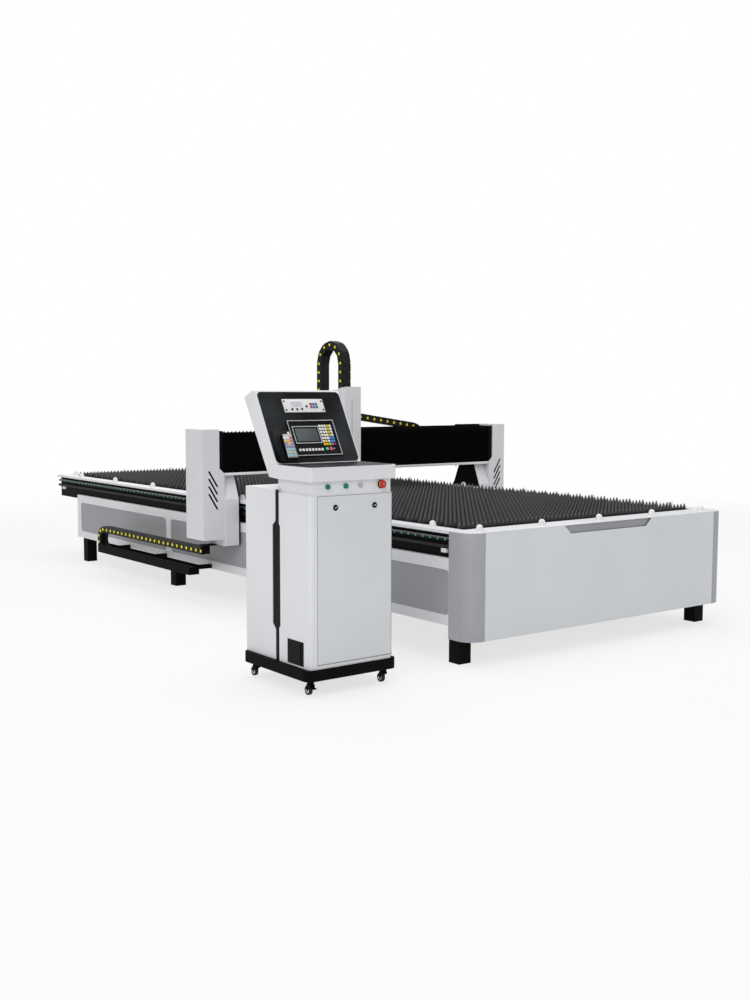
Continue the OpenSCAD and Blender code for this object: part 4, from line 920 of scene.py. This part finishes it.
def makePinions():
    for side, way in (("left", -1), ("right", 1)):
        node = "pinion_" + side
        _, y, z = middleOf(node)
        reach = max(abs(x) for (x, _, _) in boxOf(node)) - 1140
        wheel = gear((way * 1122, y, z), 20, 25, way * 18, "X", 8)
        shaft = rod("pinionShaft", (way * 1140, y, z), 8, way * reach, "X")
        hub = rod("pinionHub", (way * 1140, y, z), 13, way * 6, "X")
        whole = joined(f"pinion{side}Gear", [wheel, soften(shaft, 0.8, 1), soften(hub, 0.8, 1)])
        hand(whole, "steelX", side + "_pinion", node)
    x, _, z = middleOf("x_pinion")
    low, high = boxOf("x_pinion")
    wheel = gear((x, high[1] - 18, z), 15, 19, 18, "Y", 5)
    shaft = rod("pinionShaft", (x, low[1], z), 5, 18, "Y", 20)
    whole = joined("carriagePinionGear", [wheel, shaft])
    hand(whole, "steelY", "carriage_pinion", "x_pinion")


legFittings = {"blocksY": (-228.5, -58.5), "blockLong": 93, "blockX": 1159.8, "boltSteps": (20, 70),
               "sealX": (1137, 1158), "sealThick": 3, "z": (700, 740),
               "boltX": 1168, "boltY": (-262, 20), "boltZ": (930, 790, 560, 480)}


def makeLegFittings():  # end seals and bolts of the bearing blocks, a grease nipple, and the legs' own bolts
    f = legFittings
    (x0, x1), (z0, z1) = f["sealX"], f["z"]
    seals = [soften(block("seal", (x0, y - f["sealThick"], z0), (x1, y, z1)), 1, 1)
             for start in f["blocksY"] for y in (start, start + f["blockLong"])]
    hand(bothSides("blockSeals", seals), "teal", "gantry")
    spots = [(f["blockX"], y + step, (z0 + z1) / 2) for y in f["blocksY"] for step in f["boltSteps"]]
    spots += [(f["boltX"], y, z) for z in f["boltZ"] for y in f["boltY"]]
    bolts = [hexBolt(spot, 6, "X", -1) for spot in spots]
    greaser = rod("greaser", (1152, -233, 712), 2.4, -6, "Y", 10)
    hand(bothSides("legBolts", [*bolts, greaser]), "nickel", "gantry")


# Carriage: steel plate with four bearing blocks and the black bridge over the beam

carriage = {"x": (-311, -116), "shoulder": 22, "low": 988, "knee": 1277, "high": 1340, "y": (-262, -244),
            "blockZ": (1050, 1200), "bridgeZ": (1300, 1308), "bridgeY": 64.5}


def makeCarriage():
    c = carriage
    (x0, x1), (y0, y1), (z0, z1), s = c["x"], c["y"], c["bridgeZ"], c["shoulder"]
    plate = block("carriagePlate", (x0, y0, c["low"]), (x1, y1, c["knee"]))
    carve(plate, "+z", push(), narrow(x=1 - 2 * s / (x1 - x0)), push(z=c["high"] - c["knee"]))
    parts = [soften(plate, 1.2)]
    for x, z in [(x, z) for z in c["blockZ"] for x in (x0 + 15, x1 - 75)]:
        parts.append(soften(block("slideBlock", (x, y1, z - 18), (x + 60, -220, z + 18)), 2))
        for dx, dz in ((10, -10), (10, 10), (50, -10), (50, 10)):
            screw = rod("plateScrew", (x + dx, y0 + 0.2, z + dz), 4.5, -2.2, "Y", 16)
            parts.append(carve(screw, "-y", rim(1.6), push(y=1.4)))
    guide = block("liftGuide", (-253, y0 - 14, 992), (-238, y0, 1245))
    parts.append(carve(guide, "x", rim(3.5, -1.5)))
    hand(joined("carriagePlate", parts), "steelZ", "carriage", "carriage_plate")
    deck = soften(block("bridge", (x0 + s, y1, z0), (x1 - s, c["bridgeY"], z1)), 1)
    cheek = soften(block("bridgeCheek", (x1 - s - 6, -99.5, z1), (x1 - s, -41.5, 1391.5)), 1)
    clamp = soften(block("chainClamp", (-138, -95.5, 1342), (-133.8, -45.5, 1382)), 1, 1)
    screws = [hexBolt((x, y, z1), 5, "Z") for x in (x0 + s + 14, x1 - s - 20) for y in (y1 + 12, -20, 45)]
    bridge = joined("bridge", [deck, cheek, clamp, *screws])
    hand(bridge, "black", "carriage", "carriage_plate")


# Torch: bars by their height over the tip, length and both radii

torch = {"sleeve": (46, 128, 17.4, 17.4), "seams": (60, 150), "cup": (24, 22, 10.4, 17.2),
         "collar": (174, 16, 17.4, 17.4), "neck": (190, 24, 10.4, 10.4), "knurl": (193, 1.4, 11, 11),
         "knurls": 6, "knurlPitch": 3, "nozzle": (0, 15, 4.2, 10.4), "shank": (15, 9.5, 10.4, 10.4),
         "boreRim": 2.4, "bore": 4}


def makeTorch():  # black sleeve, brass collars and a copper nozzle
    x, y, _ = middleOf("torch")
    tip = boxOf("torch")[0][2]

    def bar(part, sides=32, rise=0):
        low, length, *radii = torch[part]
        return cone(part, (x, y, tip + low + rise), radii, length, sides=sides)

    sleeve = bar("sleeve")
    for z in torch["seams"]:
        plane = {"plane_co": (0, 0, (tip + z) * unit), "plane_no": (0, 0, 1)}
        carve(sleeve, "", partial(bpy.ops.mesh.bisect, **plane))
    knurls = [bar("knurl", 24, k * torch["knurlPitch"]) for k in range(torch["knurls"])]
    cup = soften(joined("cup", [bar("cup"), *knurls]), 0.6, 1)
    nozzle = carve(bar("nozzle"), "-z", rim(torch["boreRim"]), push(z=torch["bore"]))
    for name, finish, pieces in (
            ("torchSleeve", "ink", [soften(sleeve, 1.5)]),
            ("torchBrass", "brass", [cup, soften(bar("collar"), 1), soften(bar("neck", 24), 1, 1)]),
            ("torchNozzle", "copper", [nozzle, soften(bar("shank"), 0.6, 1)])):
        hand(joined(name, pieces), finish, "torch_lift", "torch")


makeBeam()
makePinions()
makeLegFittings()
makeCarriage()
makeTorch()
print("gantry and carriage fitted out")


# Console. Its parts are placed from its left front corner, those of the fascia along the slope.

corner = boxOf("console_plinth")[0][:2]
desk = {"y": 320, "z": 1176, "slope": 61.4}
door = {"x": (70, 545), "y": 12, "z": (160, 1028), "line": 1.6}
cabinetX = (25, 555)
consolePlace = shift(*corner)
fasciaPlace = consolePlace @ shift(0, desk["y"], desk["z"]) @ turn(desk["slope"], "X") @ shift(z=0.05)


def onFascia(piece, finish, replaces=""):
    hand(placed(piece, fasciaPlace), finish, replaces=replaces)


def onConsole(piece, finish, body="table", slot="fitting_metal", replaces="panel_fittings"):
    hand(placed(piece, consolePlace), finish, body, replaces)


def frameRing(name, low, high, width, z0, z1):  # flat frame with an open middle
    ring = block(name, (*low, z0), (*high, z1))
    return soften(carve(ring, "z", rim(width), bpy.ops.mesh.bridge_edge_loops), 0.3, 1)


def makeKey(wide, deep, z0=11, high=2.6):
    key = block("key", (-wide / 2, -deep / 2, z0), (wide / 2, deep / 2, z0 + high))
    return soften(carve(key, "+z", narrow(x=0.9, y=0.9)), 0.8)


def keysAt(name, key, spots, finish):
    onFascia(joined(name, [copyOf(key, shift(*spot)) for spot in spots]), finish)


def capital(word):
    return word[0].upper() + word[1:]


def keyBlock(name, key, rows, first, steps):  # keys of all finishes in rows, from the lowest row upwards
    for letter, finish in keyFinishes.items():
        spots = [(first[0] + steps[0] * n, first[1] + steps[1] * m)
                 for m, marks in enumerate(rows) for n, mark in enumerate(marks) if mark == letter]
        if spots:
            keysAt(name + capital(finish), key, spots, finish)


heightPanel = {"low": (170, 303.5), "high": (432, 383.5), "z": (3.1, 8), "display": ((224, 343), (286, 362)),
               "screws": ((180, 316), (422, 316), (180, 370), (422, 370)),
               "knobs": ((219, 321), (250.5, 321), (282.5, 322), (316.5, 338)), "fittingsZ": 8.3,
               "keyX": (347, 365, 383), "keyY": (333.5, 351.5),
               "keys": {"Red": "red", "Maroon": "maroon", "Blue": "deepBlue", "BlueTop": "deepBlue",
                        "Green": "green", "GreenTop": "green"}}
keyboard = {"low": (157, 40), "high": (459, 254), "z": (3.1, 11), "screen": ((194, 127), (333, 204)),
            "band": (15, 13), "pad": (358.5, 105.5), "padSteps": (16.9, 18.3),
            "rows": ("YYYBR", "WYWBB", "WWWBB", "WWWYW", "WWWYW", "WWWYW", "WWWYW"),
            "row": (191, 75), "rowStep": 20.4, "rowKeys": 8, "dotY": 78,
            "dots": ((366, 10.5, "mint"), (393, 12, "pink"), (413, 4.5, "case"))}
keyFinishes = {"W": "key", "Y": "yellow", "B": "blue", "R": "red", "L": "paleBlue", "V": "violet",
               "P": "pink"}
handset = {"low": (86, 13), "high": (156, 168), "z": (3, 27), "key": (102, 38), "keySteps": (19, 17.2),
           "rows": ("LLL", "LYL", "LLL", "VVV", "VYV", "YYP", "WWP"),
           "cradle": ((50, 10), (82, 158), 20), "foot": ((50, 6.5), (166, 12.5), 24)}


def makeHeightPanel():
    p = heightPanel
    (z0, z1), foot = p["z"], (0, 0, p["fittingsZ"])
    plate = carve(block("heightPlate", (*p["low"], z0), (*p["high"], z1)), "+z", rim(2.5), push(z=0.5))
    onFascia(soften(plate, 0.8), "plate", replaces="height_control")
    (x0, y0), (x1, y1) = p["display"]
    onFascia(frameRing("heightFrame", (x0 - 4, y0 - 4), (x1 + 4, y1 + 4), 3.5, 8.2, 9.4), "lilac")
    onFascia(soften(block("heightDisplay", (x0, y0, 8.2), (x1, y1, 8.9)), 0.3, 1), "display")
    screw = carve(rod("plateScrew", foot, 5.5, 1.8, sides=16), "+z", rim(1.8), push(z=-1.2))
    keysAt("heightScrews", soften(screw, 0.5, 1), p["screws"], "ink")
    knob = carve(rod("knob", foot, 6.5, 2.4, sides=20), "+z", rim(1.2), push(z=1.8))
    keysAt("heightKnobs", soften(knob, 0.5), p["knobs"], "ink")
    key = makeKey(15.5, 15.5, p["fittingsZ"], 2)
    for k, (tag, finish) in enumerate(p["keys"].items()):
        keysAt("heightKey" + tag, key, [(p["keyX"][k // 2], p["keyY"][k % 2])], finish)
    drop(screw, knob, key)


def makeKeyboard():
    k = keyboard
    (x0, y0), (x1, y1), (z0, z1) = k["low"], k["high"], k["z"]
    case = carve(block("keyboardCase", (x0, y0, z0), (x1, y1, z1)), "+z", rim(4), push(z=-0.8))
    onFascia(soften(case, 1.5), "ink", replaces="controller")
    (left, low), (right, high) = k["screen"]
    wide, deep = k["band"]
    lines = [frameRing("line", (x0 + 1.5, y0 + 1.5), (x1 - 1.5, y1 - 1.5), 4, 10.3, 12),
             frameRing("line", (left - wide, low - deep), (right + wide, high + deep), 4.5, 10.1, 12)]
    onFascia(joined("keyboardLines", lines), "silver")
    screen = carve(block("screen", (left, low, 9.8), (right, high, 11)), "+z", rim(3), push(z=-0.4))
    onFascia(soften(screen, 0.3, 1), "screen")
    padKey, rowKey = makeKey(13.6, 14.6), makeKey(14, 16)
    keyBlock("padKeys", padKey, k["rows"], k["pad"], k["padSteps"])
    x, y = k["row"]
    keysAt("rowKeys", rowKey, [(x + n * k["rowStep"], y) for n in range(k["rowKeys"])], "key")
    for x, radius, finish in k["dots"]:
        dot = soften(carve(rod("dotKey", (0, 0, z1), radius, 2.8), "+z", narrow(x=0.86, y=0.86)), 0.8)
        keysAt("dotKey" + capital(finish), dot, [(x, k["dotY"])], finish)
        drop(dot)
    drop(padKey, rowKey)


def makeHandset():  # a grey keypad in a black boot, held by the cradle on its left and at its foot
    h = handset
    (x0, y0), (x1, y1), (z0, z1) = h["low"], h["high"], h["z"]
    boot = carve(block("handsetBoot", (x0, y0, z0), (x1, y1, z1)), "y", narrow(x=0.94, z=0.9))
    parts = [smooth(bevel(boot, 8, 4, 40), 40)]
    for name, width, segments in (("cradle", 4, 3), ("foot", 2, 2)):
        low, high, top = h[name]
        parts.append(soften(block(name, (*low, z0), (*high, top)), width, segments))
    onFascia(joined("handsetBoot", parts), "ink", replaces="handset")
    face = block("handsetFace", (x0 + 5, y0 + 14, z1 - 2), (x1 - 3, y1 - 4, z1 + 0.8))
    onFascia(soften(carve(face, "+y", narrow(x=0.85)), 1.2), "case", replaces="handset")
    stub = cone("handsetStub", (x1 - 16, y1 - 3, (z0 + z1) / 2 + 3), (7, 5.5), 15, "Y", 16)
    onFascia(soften(stub, 1.5), "key")
    key = makeKey(16.5, 12, z1 + 0.6, 2.4)
    keyBlock("handsetKeys", key, h["rows"], h["key"], h["keySteps"])
    drop(key)


# Buttons and locks: round bars by their place on y, both radii, length and sides

panelButtons = {"x": (135, 248), "keyX": 342, "stopX": 477, "z": 1075}
locks = {"aside": 125, "z": 967, "turned": -28, "bar": ((-7.5, -1.2, -2.4), (7.5, 1, 2.4)),
         "cam": ((-8, 17.2, -8), (34, 20.2, 8))}
panelBars = {"buttonRing": (15, 15, 14, -2.2, 32), "keyRing": (15, 13.5, 13.5, -4, 32),
             "buttonStem": (34, 11, 11, -24, 28), "buttonFace": (9.5, 14, 12.5, -5, 32),
             "buttonNose": (4.6, 8, 4, -10.5, 28), "stopRing": (15, 22.5, 22.5, -6, 40),
             "stopNeck": (9, 18.5, 16, -9, 36), "stopHead": (2, 19, 21.5, -6, 40),
             "stopCentreDot": (-11.4, 7, 6, -1.6, 24), "lockCollar": (3.2, 16, 16, -3.4, 32),
             "lockBarrel": (20, 11.5, 11.5, -19.5, 32)}


def panelBar(name, x, z, front=0):
    y, *radii, length, sides = panelBars[name]
    return cone(name, (x, front + y, z), radii, length, "Y", sides)


def makeButtons():
    b, z = panelButtons, panelButtons["z"]
    onConsole(joined("buttonRings", [smooth(panelBar("buttonRing", x, z)) for x in b["x"]]), "nickel")
    cap = panelBar("keyRing", b["keyX"], z)
    carve(cap, "-y", rim(2.5), push(y=1.5), rim(0.5), push(y=-2.2), rim(2), push(y=0.6))
    onConsole(soften(cap, 0.5), "cap")
    for x, side in zip(b["x"], ("start", "stop")):
        parts = [soften(panelBar("button" + part, x, z), width, segments)
                 for part, width, segments in (("Stem", 0.5, 1), ("Face", 1.5, 3), ("Nose", 1.8, 3))]
        onConsole(joined("button" + capital(side), parts), "green", side + "_button", "green_plastic",
                  "button_" + side)

    x, stop = b["stopX"], ("emergency_button", "red_plastic", "estop_button")
    onConsole(soften(carve(panelBar("stopRing", x, z), "-y", rim(3), push(y=-1)), 0.8), "ink")
    onConsole(soften(panelBar("stopNeck", x, z), 0.8, 1), "yellow", *stop)
    head = carve(panelBar("stopHead", x, z), "-y", push(y=-5), narrow(x=0.86, z=0.86), push(y=-3),
                 narrow(x=0.62, z=0.62), push(y=0.8), narrow(x=0.9, z=0.9))
    onConsole(soften(head, 1, 2, 20), "red", *stop)
    # a teal dot in the middle of the stop head
    onConsole(soften(panelBar("stopCentreDot", x, z), 0.4, 1), "teal", stop[0], None, "")


def makeLocks():
    for way, side in ((-1, "left"), (1, "right")):
        node, tag, z = "lock_" + side, capital(side), locks["z"]
        x, y = corner[0] + sum(door["x"]) / 2 + way * locks["aside"], boxOf(node)[0][1]
        collar = carve(panelBar("lockCollar", x, z, y), "-y", narrow(x=0.88, z=0.88), rim(1.6), push(y=1.6))
        barrel = carve(panelBar("lockBarrel", x, z, y), "-y", rim(2), push(y=-1), narrow(x=0.9, z=0.9))
        cam = placed(block("lockCam", *locks["cam"]), shift(x, y, z))
        soften(carve(cam, "+x", narrow(z=0.6)), 1, 1)
        keyhole = placed(block("lockSlot", *locks["bar"]), shift(x, y, z) @ turn(locks["turned"], "Y"))
        for name, finish, pieces in (("lockCollar", "ink", [soften(collar, 0.4, 1)]),
                                     ("lockBarrel", "ink", [soften(barrel, 0.5, 1), cam]),
                                     ("lockSlot", "nickel", [soften(keyhole, 0.3, 1)])):
            hand(joined(name + tag, pieces), finish, side + "_lock", node)


caster = {"tread": 1.5, "treadRim": 3, "sideRim": 6, "groove": (0.8, -1.5), "hub": (0.62, 0.58),
          "hubDeep": 2.6, "hubInset": 2, "hubRims": (2.5, 5), "hubSteps": (-1.2, 1.4), "nutX": 15, "nut": 5}


def makeCasters():
    c = caster
    for k in casterNumbers:
        node, wheel = f"caster_wheel_{k}", f"wheel_{k}"
        low, high = boxOf(node)
        x, y, z = middleOf(node)
        radius, half = (high[2] - low[2]) / 2, (high[0] - low[0]) / 2
        swell = 1 + c["tread"] / radius
        tyre = rod(f"tyre{k}", (x - half, y, z), radius - c["tread"], half * 2, "X", 40)
        carve(tyre, lambda centre, normal: abs(normal.x) < 0.1, rim(c["treadRim"]),
              narrow(y=swell, z=swell, center_override=(x * unit, y * unit, z * unit)))
        carve(tyre, "x", rim(c["sideRim"]), rim(*c["groove"]))
        hand(soften(tyre, 0.8), "rubber", wheel, node)
        hubs, nuts, radii = [], [], [radius * share for share in c["hub"]]
        for way, side in ((-1, "-x"), (1, "+x")):
            hub = cone("hub", (x + way * (half - c["hubInset"]), y, z), radii, way * c["hubDeep"], "X", 32)
            carve(hub, side, rim(c["hubRims"][0]), push(x=way * c["hubSteps"][0]),
                  rim(c["hubRims"][1]), push(x=way * c["hubSteps"][1]))
            hubs.append(soften(hub, 0.4, 1))
            nuts.append(hexBolt((x + way * c["nutX"], y, z), c["nut"], "X", way))
        hand(joined(f"hub{k}", hubs), "key", wheel, node)
        hand(joined(f"axleNuts{k}", nuts), "nickel", f"caster_{k}")


trim = {"width": 31, "y": 303, "proud": 0.6, "spans": ((140, 326), (872, 1046))}
fanGuard = {"y": (72, 222), "z": (150, 276), "thick": 2.5, "blades": 9, "bladeY": (97, 213),
            "bladeZ": (166, 262), "bladeHigh": 7, "bladeOut": (4.5, 6.5)}


def makeTrims():  # thin closing strips at the head's corners and up the sides, and grey lines round the door that are painted shade of the door gap
    (low, _, foot), (high, _, _) = boxOf("console_head")
    front = boxOf("console_head")[0][1] + 6
    strips = []
    for x, lean in ((low + 6, -45), (high - 6, 45)):
        strip = block("cornerStrip", (-8.6, 0, 0), (8.6, 2.4, desk["z"] - foot))
        strips.append(placed(strip, shift(x, front, foot) @ turn(lean, "Z")))
    hand(joined("headCorners", strips), "white")

    (x0, x1), (z0, z1), y, line = door["x"], door["z"], door["y"], door["line"]
    # grey strips over the door's edges: painted shade of the door gap
    lines = [block("doorLine", (a - line, y - 0.25, c - line), (b + line, y + 1.5, d + line))
             for a, b, c, d in ((x0, x0, z0, z1), (x1, x1, z0, z1), (x0, x1, z1, z1), (x0, x1, z0, z0))]
    onConsole(joined("doorLines", lines), "seal", slot="console_plastic", replaces="")

    y, (left, right) = trim["y"], cabinetX
    bands = [block("sideBand", (x, y, z0), (x + way * trim["proud"], y + trim["width"], z1))
             for x, way in ((left, -1), (right, 1)) for z0, z1 in trim["spans"]]
    onConsole(joined("sideBands", bands), "ink", slot="console_plastic", replaces="")

    g = fanGuard
    (y0, y1), (z0, z1), (near, far) = g["y"], g["z"], g["bladeOut"]
    guard = [soften(block("guardPlate", (left - g["thick"], y0, z0), (left, y1, z1)), 1.5)]
    (y0, y1), (z0, z1) = g["bladeY"], g["bladeZ"]
    for k in range(g["blades"]):
        z = z0 + k * (z1 - z0) / g["blades"]
        blade = block("blade", (left - far, y0, z), (left - near, y1, z + g["bladeHigh"]))
        guard.append(soften(blade, 0.8, 1))
    onConsole(joined("fanGuard", guard), "ink", slot="console_plastic", replaces="")


makeTrims()
makeHeightPanel()
makeKeyboard()
makeHandset()
makeButtons()
makeLocks()
makeCasters()
print("console fitted out")


# Front bay panels, a lilac strip of painted shade in the lift cover's slot, and black pieces of painted shade
# in the uprights' slits

bay = {"x": (1150.1, 1150.8), "reach": (1, 116), "z": (283.2, 544.8), "radius": 20}
slotShade = {"half": 4.6, "y": (0.8, 2.4), "z": (1121, 1497)}
slit = {"low": (12, 27), "lean": 69, "z": (-96, 18), "step": 54, "count": 4, "proud": 0.6}


def roundEnd(panel, radius):  # rounds the front corners of an upright panel
    activate(panel)
    bpy.ops.object.mode_set(mode="EDIT")
    bpy.ops.mesh.select_mode(type="EDGE")
    bpy.ops.mesh.select_all(action="DESELECT")
    mesh = bmesh.from_edit_mesh(panel.data)
    front = min(vertex.co.y for vertex in mesh.verts)
    for edge in mesh.edges:
        a, b = edge.verts
        edge.select_set(max(a.co.y, b.co.y) < front + 0.0001 and abs(a.co.z - b.co.z) < 0.0001)
    bpy.ops.mesh.bevel(offset=radius * unit, segments=6)
    bpy.ops.object.mode_set(mode="OBJECT")
    return panel


def makeBayPanels():  # the first field on each side runs on to the corner post
    start = boxOf("corner_posts")[1][1]
    (x0, x1), (y0, y1), (z0, z1) = bay["x"], bay["reach"], bay["z"]
    panel = roundEnd(block("bayPanel", (x0, start + y0, z0), (x1, start + y1, z1)), bay["radius"])
    hand(bothSides("bayPanels", [panel]), "field")


def makeSlotShade():
    # a pale lilac strip set into the slot down the lift cover: painted shade of the slot
    x, front = middleOf("z_cover")[0], boxOf("z_cover")[0][1]
    (y0, y1), (z0, z1) = slotShade["y"], slotShade["z"]
    piece = block("slotShadeStrip", (x - slotShade["half"], front + y0, z0), (x + slotShade["half"], front + y1, z1))
    hand(piece, "lilac", "carriage")


def makeSlitShades():  # black slanted blocks filling the slits of both uprights: painted shade of the slit openings
    face = boxOf("upright_covers")[0][1]
    base, top = boxOf("gantry_beam")[1][0], boxOf("bellows")[0][2]
    (x0, x1), (z0, z1) = slit["low"], slit["z"]
    edges = []
    for k in range(slit["count"]):
        low = top - k * slit["step"]
        edge = block("slitShade", (base + x0, face - slit["proud"], low + z0), (base + x1, face + 1, low + z1))
        carve(edge, "+z", partial(bpy.ops.transform.translate, value=(slit["lean"] * unit, 0, 0)))
        edges += [edge, mirror(edge)]
    hand(joined("slitShades", edges), "black", "gantry")


makeBayPanels()
makeSlotShade()
makeSlitShades()
print("trim added")
